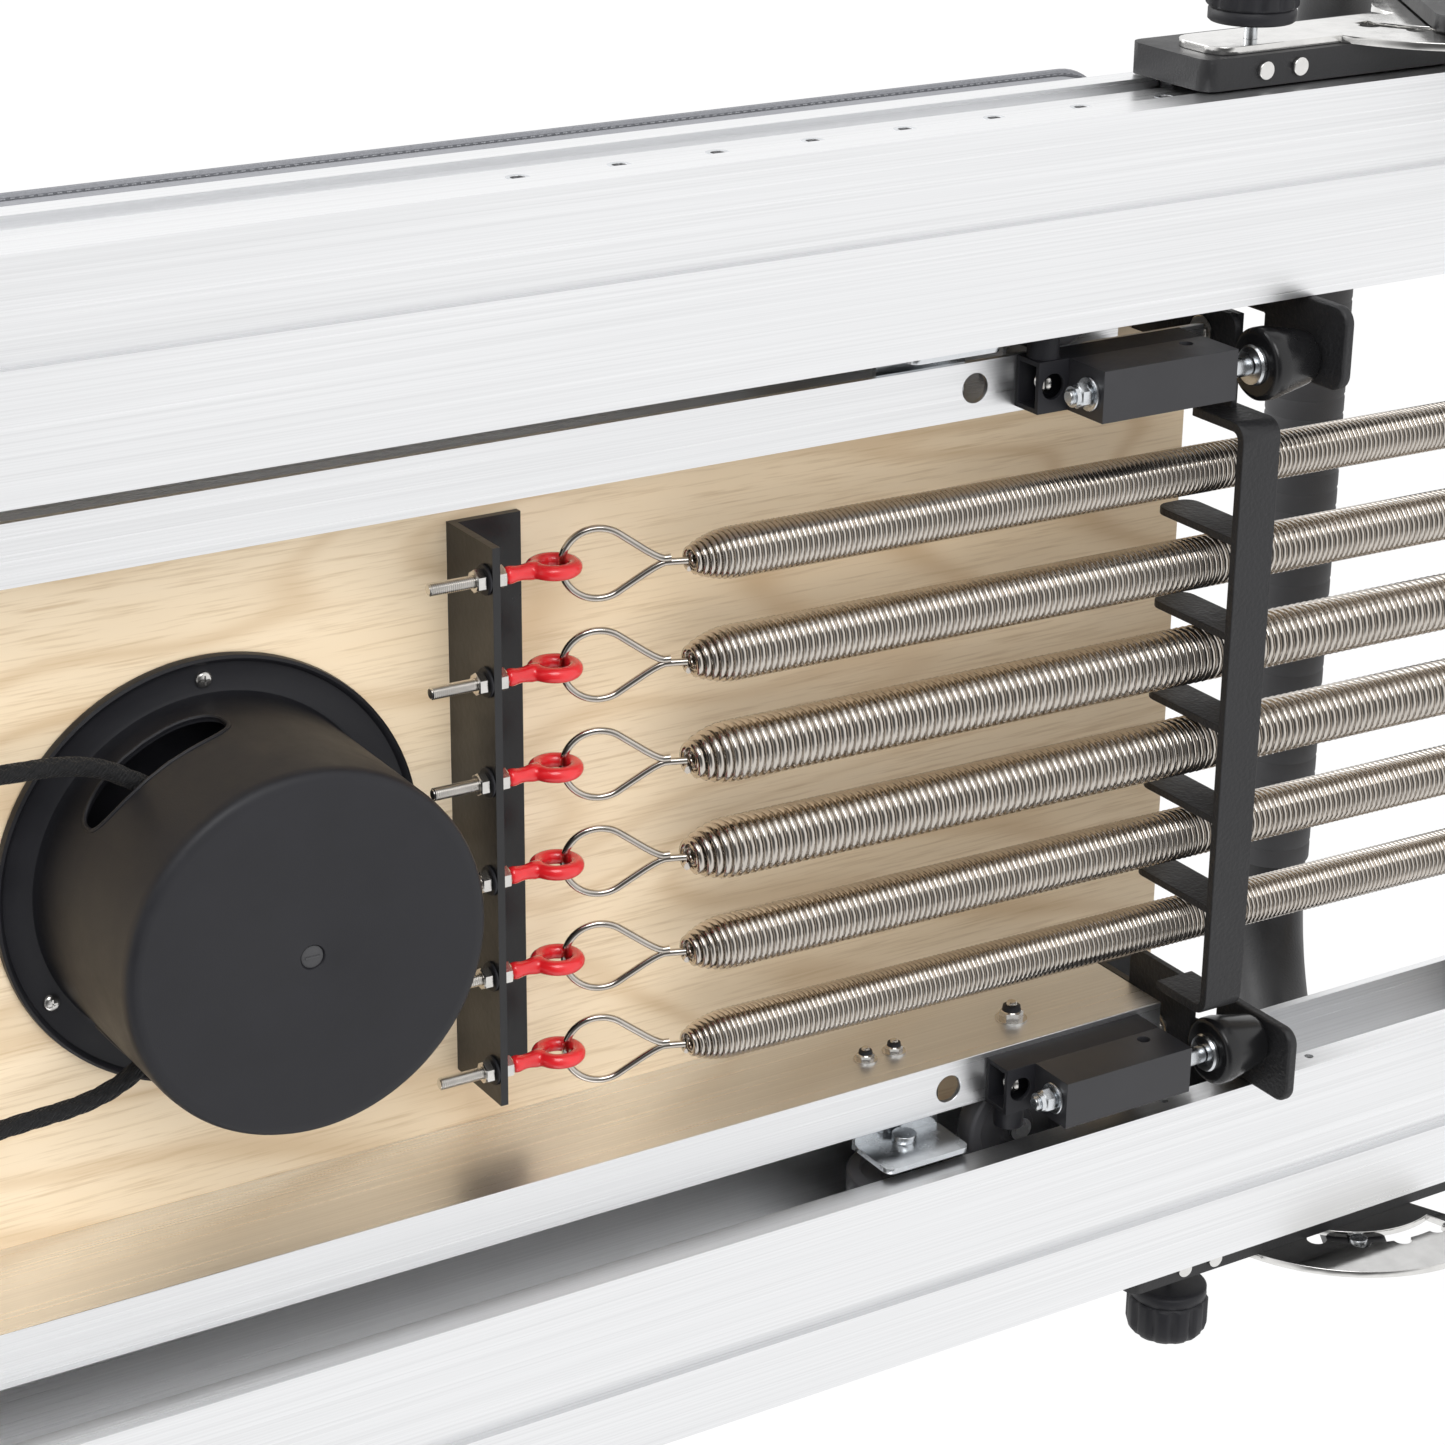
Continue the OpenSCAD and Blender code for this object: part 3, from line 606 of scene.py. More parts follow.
def vinyl(name, colour):
    """Upholstery vinyl with a pebbled grain."""
    finish = Finish(name, colour, 0.0, 0.5, specular_ior_level=0.5)
    cells = finish.node(
        "ShaderNodeTexVoronoi",
        [("Vector", finish.stretched((700.0,) * 3))],
        [("Scale", 1.0)],
        feature="SMOOTH_F1",
    ).outputs["Distance"]
    crease = finish.noise((60.0,) * 3, 5.0, 0.6)
    finish.gloss(finish.between(crease, 0.44, 0.58))
    finish.tint(finish.between(cells, 0.0, 0.5, 0.35, 0.8), [part * 0.72 for part in colour])
    finish.bump(finish.maths("SUBTRACT", 1.0, cells), 0.00016)
    finish.bump(crease, 0.0003, 0.4)
    return finish.material


def woven(name, colour, grain, sheen=0.25):
    """Woven cord or tape: grain is the waves per metre of its ribs along X, Y and Z."""
    finish = Finish(name, colour, 0.0, 0.78, sheen_weight=sheen)
    axes = finish.node("ShaderNodeSeparateXYZ", [("Vector", finish.stretched(grain))])
    along = finish.maths("SINE", finish.maths("ADD", axes.outputs[0], axes.outputs[1]))
    across = finish.maths("SINE", axes.outputs[2])
    weave = finish.maths("MULTIPLY", along, across)
    fuzz = finish.noise((1800.0,) * 3, 3.0)
    finish.tint(finish.between(weave, 0.0, 0.7, -0.6, 0.9), [part * 1.9 for part in colour])
    finish.bump(weave, 0.0003)
    finish.bump(fuzz, 0.0001)
    return finish.material


FINISHES = {}


def make_finishes(colours):
    """Fills FINISHES with one material for each finish of the reformer."""
    coating = colours.coating
    FINISHES.update(
        # The rails' finish carries painted shade in its lock holes.
        rail=brushed("anodised_rail", colours.aluminium, 0.3, (2.0, 900.0, 900.0), bore_shade=True),
        channel=brushed("brushed_channel", [part * 0.97 for part in colours.aluminium], 0.3,
                        (2.5, 1100.0, 1100.0)),
        black_steel=powder_coat("powder_coated_steel", coating),
        comb_coat=powder_coat("textured_coat", coating, 0.5, 0.0005, 420.0),
        anchor_coat=powder_coat("blotchy_coat", [part * 0.8 for part in coating], 0.34, 0.0001,
                                300.0),
        black_moulding=moulded("black_moulding", (0.0085, 0.0085, 0.0105), 0.5,
                               specular_ior_level=0.35),
        block_moulding=moulded("machined_block", (0.014, 0.014, 0.016), 0.36, 0.00003),
        charcoal_rubber=moulded("charcoal_rubber", (0.03, 0.03, 0.032), 0.62, 0.00012),
        gloss_rubber=moulded("gloss_rubber", (0.005, 0.005, 0.0055), 0.24, 0.00001,
                             specular_ior_level=0.4),
        wheel=moulded("urethane_wheel", (0.05, 0.05, 0.054), 0.34, 0.00002),
        zinc=plated("bright_zinc", (0.72, 0.745, 0.77), 0.24, 0.07),
        nickel=plated("nickel_wire", (0.62, 0.572, 0.518), 0.13, 0.04),
        steel=plated("turned_steel", (0.74, 0.72, 0.69), 0.22, 0.06),
        polished_plate=plated("bright_plate", (0.80, 0.79, 0.77), 0.14, 0.05),
        red_vinyl=moulded("dipped_vinyl", colours.eye, 0.2, 0.00004, coat_weight=0.5,
                          coat_roughness=0.08),
        maple=veneer("maple_veneer", colours.maple),
        upholstery=vinyl("grey_vinyl", colours.vinyl),
        shoulder_vinyl=vinyl("shoulder_vinyl", [part * 0.8 for part in colours.vinyl]),
        piping=vinyl("piping_vinyl", [part * 0.85 for part in colours.vinyl]),
        thread=woven("sewing_thread", (0.20, 0.205, 0.22), (4000.0,) * 3),
        rope=woven("braided_cord", (0.0045, 0.0045, 0.005), (2600.0,) * 3, 0.03),
        webbing=woven("webbing", (0.022, 0.024, 0.03), (3100.0,) * 3),
    )


# Each finish with the nodes that wear it, and how far their edges are rounded.
WORN = [
    ("rail", 0.0005, ["rail_left", "rail_right"]),
    ("channel", 0.0005, ["channel_left", "channel_right"]),
    ("black_steel", 0.0009, ["foot_crossmember", "head_crossmember", "legs", "spring_bar",
                             "riser_posts", "footbar", "trolley_slides"]),
    ("comb_coat", 0.0016, ["comb", "stop_brackets"]),
    ("anchor_coat", 0.0005, ["spring_anchor", "comb_hangers"]),
    ("black_moulding", 0.0008, ["rail_end_caps", "carriage_sockets", "bumper_carriers"]),
    ("block_moulding", 0.0009, ["bumper_blocks"]),
    ("charcoal_rubber", 0.0008, ["levelling_feet", "platform_pad", "reel_spool"]),
    ("wheel", 0.0004, ["front_wheels", "rear_wheels", "guide_roller_front_left",
                       "guide_roller_front_right", "guide_roller_rear_left",
                       "guide_roller_rear_right", "pulley_wheel_left", "pulley_wheel_right"]),
    ("zinc", 0.0004, ["frame_bolts", "wheel_brackets", "axle_bolts", "shoulder_post_left",
                      "shoulder_post_right", "latch_pin_left", "latch_pin_right",
                      "carriage_fasteners", "pulley_yoke_left", "pulley_yoke_right"]),
    ("polished_plate", 0.0004, ["sector_plates"]),
    ("maple", 0.0008, ["board", "standing_platform"]),
]


# ---------------------------------------------------------------- stage


def studio_sky(strength):
    """White studio walls, with the unlit side of the room below and behind the carriage."""
    world = bpy.context.scene.world or bpy.data.worlds.new("studio")
    bpy.context.scene.world = world
    world.use_nodes = True
    tree = world.node_tree
    tree.nodes.clear()
    output = tree.nodes.new("ShaderNodeOutputWorld")
    walls = tree.nodes.new("ShaderNodeBackground")
    walls.inputs["Color"].default_value = (1.0, 1.0, 1.0, 1.0)
    direction = tree.nodes.new("ShaderNodeTexCoord")
    facing = tree.nodes.new("ShaderNodeVectorMath")
    facing.operation = "DOT_PRODUCT"
    facing.inputs[1].default_value = Vector((-0.62, -0.10, -0.78)).normalized()
    shade = tree.nodes.new("ShaderNodeMapRange")
    shade.interpolation_type = "SMOOTHSTEP"
    shade.inputs["From Min"].default_value = 0.55
    shade.inputs["From Max"].default_value = 0.97
    shade.inputs["To Min"].default_value = strength
    shade.inputs["To Max"].default_value = strength * 0.10
    tree.links.new(direction.outputs["Generated"], facing.inputs[0])
    tree.links.new(facing.outputs["Value"], shade.inputs["Value"])
    tree.links.new(shade.outputs["Result"], walls.inputs["Strength"])
    tree.links.new(walls.outputs["Background"], output.inputs["Surface"])


def soft_light(name, position, target, size, power, shine=True):
    """A large soft light that points at a target; without shine it leaves no highlights."""
    data = bpy.data.lights.new(name, "AREA")
    data.shape = "SQUARE"
    data.size = size
    data.energy = power
    lamp = bpy.data.objects.new(name, data)
    lamp.location = position
    lamp.rotation_euler = (Vector(target) - Vector(position)).to_track_quat("-Z", "Y").to_euler()
    lamp.visible_camera = False
    lamp.visible_glossy = shine
    bpy.context.scene.collection.objects.link(lamp)


def one_sided_floor():
    """A pale floor that can only be seen from above."""
    mesh = bpy.data.meshes.new("floor")
    reach = 14.0
    mesh.from_pydata([(-reach, -reach, -0.001), (reach, -reach, -0.001), (reach, reach, -0.001),
                      (-reach, reach, -0.001)], [], [(0, 1, 2, 3)])
    floor = bpy.data.objects.new("floor", mesh)
    bpy.context.scene.collection.objects.link(floor)
    paint = bpy.data.materials.new("floor_paint")
    paint.use_nodes = True
    tree = paint.node_tree
    shader = tree.nodes["Principled BSDF"]
    shader.inputs["Base Color"].default_value = (0.82, 0.82, 0.82, 1.0)
    shader.inputs["Roughness"].default_value = 0.75
    clear = tree.nodes.new("ShaderNodeBsdfTransparent")
    side = tree.nodes.new("ShaderNodeNewGeometry")
    mix = tree.nodes.new("ShaderNodeMixShader")
    tree.links.new(side.outputs["Backfacing"], mix.inputs[0])
    tree.links.new(shader.outputs["BSDF"], mix.inputs[1])
    tree.links.new(clear.outputs["BSDF"], mix.inputs[2])
    tree.links.new(mix.outputs["Shader"], tree.nodes["Material Output"].inputs["Surface"])
    mesh.materials.append(paint)
    floor.visible_diffuse = False
    floor.visible_glossy = False
    floor.visible_transmission = False
    floor.visible_shadow = False


class REFORMER_OT_stage(bpy.types.Operator):
    """Sets the camera, the pale floor and the soft studio light"""

    bl_idname = "reformer.stage"
    bl_label = "Stage"

    def execute(self, context):
        settings = context.scene.reformer.stage
        data = bpy.data.cameras.new("camera")
        data.lens = settings.lens
        data.sensor_width = 36.0
        data.clip_start = 0.05
        data.clip_end = 60.0
        camera = bpy.data.objects.new("camera", data)
        across = Vector((0.8517863, -0.00931631, -0.52380656))
        upward = Vector((0.18722892, -0.92839703, 0.32097397))
        forward = across.cross(-upward).normalized()
        turn = Matrix((across, upward, -forward)).transposed()
        camera.matrix_world = Matrix.Translation(at(-1138.8, -657.8, -1373.0)) @ turn.to_4x4()
        context.scene.collection.objects.link(camera)
        context.scene.camera = camera
        context.scene.view_settings.view_transform = "Standard"
        studio_sky(settings.sky)
        soft_light("key", (-0.6, -2.3, -1.3), (0.3, 0.0, 0.25), 1.6, settings.key)
        soft_light("fill", (2.6, 1.2, -1.2), (0.4, 0.0, 0.25), 1.8, settings.key * 0.5, False)
        soft_light("top", (-1.2, -1.6, 3.0), (0.0, 0.0, 0.3), 2.4, settings.key * 1.6)
        soft_light("bounce", (-0.3, -1.0, -2.2), (0.3, 0.0, 0.25), 2.6, settings.key * 2.2, False)
        one_sided_floor()
        return {"FINISHED"}


class REFORMER_OT_finishes(bpy.types.Operator):
    """Gives every plain part its finish and rounds its edges"""

    bl_idname = "reformer.finishes"
    bl_label = "Finishes"

    def execute(self, context):
        make_finishes(context.scene.reformer.finishes)
        for finish, edge, nodes in WORN:
            for name in nodes:
                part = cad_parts[name]
                if not part.material_slots:
                    part.data.materials.append(FINISHES[finish])
                for slot in part.material_slots:
                    slot.material = FINISHES[finish]
                soften(part, edge)
        return {"FINISHED"}


# ---------------------------------------------------------------- springs and eyes

SPRINGS = 6
EYE_X = -405.0
EYE_Z = -39.0
EYE_RING = 9.8
EYE_WIRE = 8.0
LOOP_RADIUS = 17.5
LOOP_WIRE = 3.6
LOOP_APEX = 46.0
BEAD_RADIUS = 4.2
BEAD_INSET = 0.0035
HOOK_X = EYE_X + EYE_RING - (EYE_WIRE + LOOP_WIRE) / 2 - 0.2
HOOK_FALL = math.radians(22.0)
COIL_X = -345.0
COIL_Z = -62.0


def spring_y(settings, k):
    """How far spring k, counted from 0, lies off the middle, in millimetres."""
    return (k - (SPRINGS - 1) / 2) * settings.pitch / MM


def spring_frame(settings, k):
    """Carries points from a spring's own axis to its place under the carriage."""
    turn = Matrix.Rotation(settings.fall, 4, "Y")
    return Matrix.Translation(at(COIL_X, spring_y(settings, k), COIL_Z)) @ turn


def coil_path(length, diameter, wire, pitch, steps=20):
    """A close helix along X whose last turns draw in at both ends."""
    taper = 0.024
    least = 0.42
    turns = length / pitch
    count = round(turns * steps)
    path = []
    for i in range(count + 1):
        run = length * i / count
        near = min(run, length - run) / taper
        reach = (diameter - wire) / 2
        if near < 1.0:
            reach *= least + (1.0 - least) * math.sin(TAU / 4 * near) ** 0.8
        turn = TAU * turns * i / count
        path.append(Vector((run, math.cos(turn) * reach, math.sin(turn) * reach)))
    return path


def teardrop(radius, apex, tail, steps=40):
    """A wire loop in the X-Y plane: out of the apex, round the far side and back to it."""
    meet = math.acos(radius / (apex - radius))
    path = [Vector((apex + tail, 0.0006, 0.0)), Vector((apex + tail * 0.5, 0.0007, 0.0)),
            Vector((apex + 0.001, 0.0011, 0.0003))]
    for i in range(steps + 1):
        turn = meet + (TAU - 2 * meet) * i / steps
        path.append(Vector((radius + math.cos(turn) * radius, math.sin(turn) * radius,
                            0.0008 * (1 - 2 * i / steps))))
    path += [Vector((apex + 0.0005, -0.0011, -0.0006)), Vector((apex + 0.006, -0.0017, -0.0009))]
    return rounded_path(path, 2)


class REFORMER_OT_springs(bpy.types.Operator):
    """Winds the six springs and bends their hooks"""

    bl_idname = "reformer.springs"
    bl_label = "Springs"

    def execute(self, context):
        settings = context.scene.reformer.springs
        sizes = [
            ("springs_light", settings.light, (0, 5)),
            ("springs_medium", settings.medium, (1, 4)),
            ("springs_heavy", settings.heavy, (2, 3)),
        ]
        for node, (diameter, wire, pitch), places in sizes:
            for k in places:
                self.wind(settings, k, node, diameter, wire, pitch)
        return {"FINISHED"}

    def wind(self, settings, k, node, diameter, wire, pitch):
        """One spring with its hook at the eye and its hook at the bar."""
        carry = spring_frame(settings, k)
        helix = [carry @ point for point in coil_path(settings.coil_length, diameter, wire, pitch)]
        place(f"spring_{k + 1}_coil", [tube(helix, wire * 0.5, 6)], FINISHES["nickel"],
              "carriage", [node], angle=80)
        hooks = []
        gauge = LOOP_WIRE * MM / 2
        apex = LOOP_APEX * MM
        tilt = Matrix.Translation(at(HOOK_X, spring_y(settings, k), EYE_Z))
        tilt = tilt @ Matrix.Rotation(HOOK_FALL, 4, "Y")
        near = [tilt @ point for point in teardrop(LOOP_RADIUS * MM, apex, 0.014)]
        hooks.append(tube(near, gauge, 12))
        flip = Matrix.Translation(Vector((settings.coil_length + 0.0445, 0, 0)))
        flip = flip @ Matrix.Rotation(math.pi, 4, "Z")
        far = [carry @ flip @ point for point in teardrop(LOOP_RADIUS * MM, apex, 0.008)]
        hooks.append(tube(far, gauge, 12))
        turns = [TAU * i / 20 for i in range(20)]
        for end in (BEAD_INSET, settings.coil_length - BEAD_INSET):
            bead = [carry @ Vector((end, math.cos(turn) * BEAD_RADIUS * MM,
                                    math.sin(turn) * BEAD_RADIUS * MM)) for turn in turns]
            hooks.append(tube(bead, gauge, 10, closed=True))
        place(f"spring_{k + 1}_hooks", hooks, FINISHES["nickel"], "carriage", angle=80)


def dipped_eye(settings, k):
    """A ring on a short neck, under one thick skin of dipped vinyl."""
    y = spring_y(settings, k)
    turns = [TAU * i / 40 for i in range(40)]
    ring = [at(EYE_X + math.cos(turn) * EYE_RING, y, EYE_Z + math.sin(turn) * EYE_RING)
            for turn in turns]
    neck = [
        (0.0, -26.0), (3.7, -26.0), (4.3, -25.2), (4.5, -23.0), (3.9, -20.5), (3.7, -17.5),
        (4.2, -14.5), (4.6, -12.5), (4.2, -8.5), (0.0, -7.6),
    ]
    skin = EYE_WIRE * MM * 0.48
    raw = fresh_mesh("eye", [tube(ring, skin, 16, closed=True),
                             turned(neck, at(EYE_X, y, EYE_Z), (1, 0, 0), 24)])
    return baked(
        f"dipped_eye_{k + 1}",
        raw,
        [
            ("REMESH", {"mode": "VOXEL", "voxel_size": 0.00075, "use_smooth_shade": True}),
            ("SMOOTH", {"factor": 0.5, "iterations": 7}),
        ],
    )


class REFORMER_OT_eyebolts(bpy.types.Operator):
    """Cuts the threaded rods and nuts, and dips their eyes"""

    bl_idname = "reformer.eyebolts"
    bl_label = "Eyebolts"

    def execute(self, context):
        settings = context.scene.reformer.springs
        axis = (1, 0, 0)
        plate = -441.0
        flats, height, bore = 0.0101, 0.005, 0.0061
        washer = [(3.2, 0.0), (7.1, 0.0), (7.5, 0.4), (7.5, 1.1), (7.1, 1.5), (3.2, 1.5)]
        for k in range(SPRINGS):
            y = spring_y(settings, k)
            place(f"dipped_eye_{k + 1}", dipped_eye(settings, k), FINISHES["red_vinyl"],
                  "carriage", ["eye_rings"])
            rod = lathe(threads(0.00315, 0.041, 0.00105), at(-471, y, EYE_Z), axis, 20)
            far_nut = hexagon_nut(at(plate - 6.7, y, EYE_Z), axis, flats, height, bore)
            near_nut = hexagon_nut(at(plate + 4.1, y, EYE_Z), axis, flats, height, bore)
            place(f"eyebolt_{k + 1}", [rod, far_nut, near_nut], FINISHES["steel"],
                  "carriage", ["eyebolts"], angle=28)
            place(f"eyebolt_washer_{k + 1}",
                  [turned(washer, at(plate - 1.55, y, EYE_Z), axis, 32, closed=True)],
                  FINISHES["black_moulding"], "carriage")
        return {"FINISHED"}


# ---------------------------------------------------------------- bumpers and fasteners


class REFORMER_OT_bumpers(bpy.types.Operator):
    """Turns the bumpers, their rods, washers and nuts"""

    bl_idname = "reformer.bumpers"
    bl_label = "Bumpers"

    def execute(self, context):
        axis = (1, 0, 0)
        for side, sign in SIDES.items():
            y = sign * 190.5
            z = -107.0
            cone = [(0.0, 0.2), (15.2, 0.0), (17.2, 0.5), (18.3, 1.8), (18.5, 3.2), (18.5, 8.0),
                    (18.1, 9.8), (14.3, 29.0), (13.2, 31.6), (11.2, 33.2), (8.0, 33.7),
                    (7.2, 33.2), (6.8, 32.0), (0.0, 31.8)]
            body = turned(cone, at(-46, y, z), axis, 64)
            place(f"bumper_{side}", [body], FINISHES["gloss_rubber"], "carriage",
                  ["bumpers"], angle=50)
            shaft = [(0.0, -66.0), (4.4, -66.0), (5.0, -65.4), (5.0, -52.0), (4.6, -50.2),
                     (0.0, -50.0)]
            collar = [(4.0, -49.5), (8.2, -49.6), (9.6, -49.2), (10.4, -48.0), (10.4, -46.4),
                      (9.8, -46.05), (4.0, -46.05)]
            sleeve = [(3.9, 0.0), (5.2, 0.0), (5.2, 2.6), (3.9, 2.6)]
            washer = [(4.0, 0.0), (8.1, 0.0), (8.5, 0.4), (8.5, 1.3), (4.0, 1.5)]
            centre = at(0, y, z)
            parts = [
                turned(shaft, centre, axis, 32),
                turned(collar, centre, axis, 48, closed=True),
                lathe(threads(0.0039, 0.02, 0.00125), at(-161, y, z), axis, 24),
                hexagon_nut(at(-156.5, y, z), axis, 0.0112, 0.0058, 0.0078),
                turned(sleeve, at(-158.9, y, z), axis, 32, closed=True),
                turned(washer, at(-149.6, y, z), axis, 40, closed=True),
            ]
            place(f"bumper_rod_{side}", parts, FINISHES["zinc"], "carriage",
                  ["bumper_rods"], angle=30)
            self.screw(side, at(-165.8, sign * 191, -80.5))
        return {"FINISHED"}

    def screw(self, side, centre):
        """The cross-headed screw seen inside the square tube."""
        head = [(0.0, 0.0), (1.6, 0.3), (1.9, 1.6), (3.2, 0.7), (4.6, 1.2), (5.6, 2.6),
                (5.8, 4.2), (0.0, 4.3)]
        sunk = [(r, h + 6.0) for r, h in head]
        place(f"tube_screw_{side}", [turned(sunk, centre, (1, 0, 0), 32)], FINISHES["steel"],
              "carriage", angle=50)


# The channels' locknuts: place along X, width across flats and depth, in millimetres.
CHANNEL_NUTS = [(-226, 8.2, 5), (-208, 8.2, 5), (-770, 8.2, 5), (-752, 8.2, 5),
                (-132, 11.2, 7), (-832, 11.2, 7)]
# The reel's axis in X and Y, in millimetres from the datum.
REEL = (-568.0, 5.0)


class REFORMER_OT_fasteners(bpy.types.Operator):
    """Fits the channels' locknuts, the lock holes' rims of painted shade and the comb's and the
    reel's screws
    """

    bl_idname = "reformer.fasteners"
    bl_label = "Fasteners"

    def execute(self, context):
        parts = []
        inserts = []
        web = 175.0
        for sign in SIDES.values():
            inward = (0, -sign, 0)
            for x, flats, deep in CHANNEL_NUTS:
                seat = at(x, sign * web, -46)
                parts.append(hexagon_nut(seat, inward, flats * MM, deep * 0.8 * MM,
                                         0.55 * flats * MM))
                dome = [(0.25 * flats, deep * 0.8), (0.46 * flats, deep * 0.8),
                        (0.42 * flats, deep * 1.15), (0.3 * flats, deep * 1.25),
                        (0.25 * flats, deep)]
                washer = [(0.3 * flats, 0.0), (0.78 * flats, 0.0), (0.78 * flats, 0.9),
                          (0.3 * flats, 1.0)]
                inserts.append(turned(dome, seat, inward, 32, closed=True))
                stud = threads(0.26 * flats * MM, deep * 1.5 * MM, 0.0009)
                parts.append(lathe(stud, seat, inward, 20))
                parts.append(turned(washer, seat, inward, 32, closed=True))
            parts += self.comb_screw(sign * 196)
        place("channel_locknuts", parts, FINISHES["steel"], "carriage",
              ["carriage_fasteners"], angle=28)
        # Painted shade: zinc rims, darker than the rail, round the rails' lock holes.
        place("lock_hole_shade_rims", self.shaded_lock_hole_rims(), FINISHES["zinc"], "frame", angle=25)
        place("locknut_inserts", inserts, FINISHES["black_moulding"], "carriage")
        self.reel_screws()
        return {"FINISHED"}

    def shaded_lock_hole_rims(self):
        """A bright zinc rim round each countersunk hole in the rails' outer sides: the
        countersinks are real, and the zinc, darker than the rail's aluminium, is painted shade.
        """
        rims = []
        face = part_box("rail_left")[1].y - LOCK_RECESS
        rim = [(3.55, -0.6), (3.55, 0.02), (4.3, 0.10), (5.4, 0.16), (5.7, 0.02), (5.7, -0.6)]
        for sign in SIDES.values():
            for k in range(LOCK_HOLES):
                seat = at(FIRST_LOCK + LOCK_PITCH * k, 0.0, LOCK_Z)
                seat.y = sign * face
                rims.append(turned(rim, seat, (0, sign, 0), 32, closed=True))
        return rims

    def comb_screw(self, y):
        """A washer under a domed head on the comb's tab."""
        washer = [(2.0, 13.4), (8.4, 13.4), (9.0, 13.8), (9.0, 14.6), (8.6, 15.0), (2.0, 15.0)]
        head = [(0.0, 10.6), (1.9, 10.6), (2.2, 11.3), (3.6, 11.0), (4.9, 11.9), (5.2, 13.4),
                (0.0, 13.5)]
        centre = at(-58, y, -62)
        return [
            turned(washer, centre, (1, 0, 0), 40, closed=True),
            turned(head, centre, (1, 0, 0), 32),
            hexagon_nut(at(-35, y, -62), (1, 0, 0), 0.0101, 0.005, 0.0058),
        ]

    def reel_screws(self):
        """Three cross-headed screws through the reel's flange."""
        dome = [(0.0, 2.5), (2.6, 2.4), (3.8, 1.6), (4.3, 0.5), (4.3, -0.4), (0.0, -0.5)]
        heads = []
        for angle in (270, 30, 150):
            turn = math.radians(angle)
            seat = at(REEL[0] + math.cos(turn) * 95.5, REEL[1] + math.sin(turn) * 95.5, -3.2)
            heads.append(turned(dome, seat, (0, 0, -1), 32))
            for lean in (0.0, TAU / 4):
                arm = Vector((math.cos(lean) * 2.3, math.sin(lean) * 2.3, 0)) * MM
                slit = Vector((-arm.y, arm.x, 0)) * 0.16
                middle = seat + Vector((0, 0, -2.62)) * MM
                corners = [middle - arm - slit, middle + arm - slit,
                           middle + arm + slit, middle - arm + slit]
                heads.append((corners, [[0, 1, 2, 3]]))
        place("reel_screws", heads, FINISHES["steel"], "carriage", angle=50)


# ---------------------------------------------------------------- reel and ropes


def window_outline(steps=48):
    """The long oval of a rope window, from the reel's centre."""
    outline = []
    for i in range(steps):
        across = math.cos(TAU * i / steps)
        upright = math.sin(TAU * i / steps)
        outline.append((-0.038 + math.copysign(abs(across) ** 0.6, across) * 0.034,
                        -0.036 + math.copysign(abs(upright) ** 0.75, upright) * 0.0145))
    return outline


class REFORMER_OT_reel(bpy.types.Operator):
    """Turns the reel's cover with its lipped flange and cuts the ropes' windows"""

    bl_idname = "reformer.reel"
    bl_label = "Rope reel"

    def execute(self, context):
        profile = [
            (84.6, -1.0), (104.2, -0.4), (106.3, -0.8), (106.6, -2.6), (106.2, -5.4),
            (104.8, -6.2), (103.4, -5.4), (102.6, -3.6), (100.6, -3.1), (90.5, -3.1),
            (88.6, -4.0), (87.7, -6.5), (87.5, -12.0), (87.4, -104.0), (87.0, -108.2),
            (85.8, -110.6), (83.6, -111.8), (80.5, -112.0), (7.2, -112.0), (6.1, -111.8),
            (5.7, -111.2), (5.5, -110.6), (0.01, -110.5), (0.01, -108.2), (80.0, -108.2),
            (83.6, -106.5), (84.5, -103.0),
        ]
        centre = at(REEL[0], REEL[1], 0)
        shell = fresh_mesh("reel_shell", [turned(profile, centre,
                                                steps=128, closed=True)])
        cutters = []
        for sign in SIDES.values():
            opening = fresh_mesh("window", [self.window(centre, sign)])
            window = bpy.data.objects.new("window", opening)
            context.scene.collection.objects.link(window)
            cutters.append(window)
        disc = [(0.01, -0.6), (84.8, -0.6), (84.8, -1.6), (0.01, -1.6)]
        backing = turned(disc, centre, steps=96)
        place("reel_backing", [backing], FINISHES["black_moulding"], "carriage")
        steps = [("BOOLEAN", {"operation": "DIFFERENCE", "object": window, "solver": "EXACT"})
                 for window in cutters]
        cover = baked("reel_cover", shell, steps)
        for window in cutters:
            bpy.data.objects.remove(window)
        cover.shade_smooth()
        cover.set_sharp_from_angle(angle=math.radians(38))
        place("reel_cover", cover, FINISHES["black_moulding"], "carriage",
              ["reel_housing"])
        rims = []
        for sign in SIDES.values():
            rim = []
            for x, z in window_outline():
                reach = math.sqrt(0.0872 ** 2 - x ** 2)
                rim.append(centre + Vector((x, sign * reach, z)))
            rims.append(tube(rim, 0.0012, 8, closed=True))
        place("reel_window_rims", rims, FINISHES["black_moulding"], "carriage")
        slot = at(REEL[0], REEL[1], -110.9)
        place("reel_centre_plug", [
            turned([(0.0, 0.6), (4.6, 0.5), (5.3, 0.1), (5.4, -1.0), (0.0, -1.0)],
                   slot, (0, 0, -1), 40),
            slab(slot + Vector((-3.6, -0.5, -0.95)) * MM, slot + Vector((3.6, 0.5, -0.5)) * MM),
        ], FINISHES["charcoal_rubber"], "carriage")
        return {"FINISHED"}

    def window(self, centre, sign):
        """An oval cutter on one side of the cover."""
        outline = []
        for depth in (0.040, 0.100):
            outline += [centre + Vector((x, sign * depth, z)) for x, z in window_outline()]
        sides = len(outline) // 2
        faces = ring_faces(2, sides) + [list(range(sides))[::-1], list(range(sides, 2 * sides))]
        return outline, faces


LEFT_ROPE = [(-612, 68), (-640, 88), (-690, 90), (-730, 94), (-770, 106), (-810, 126),
             (-840, 142), (-858, 148.5)]
RIGHT_ROPE = [(-612, 60), (-640, 78), (-690, 80), (-730, 85), (-770, 100), (-810, 123),
              (-840, 141), (-858, 148.5)]
ROPE_RISE = [(-870, -38), (-877, -31), (-880, -20), (-880, -5), (-880, 10), (-880, 22),
             (-883, 31), (-889, 35)]


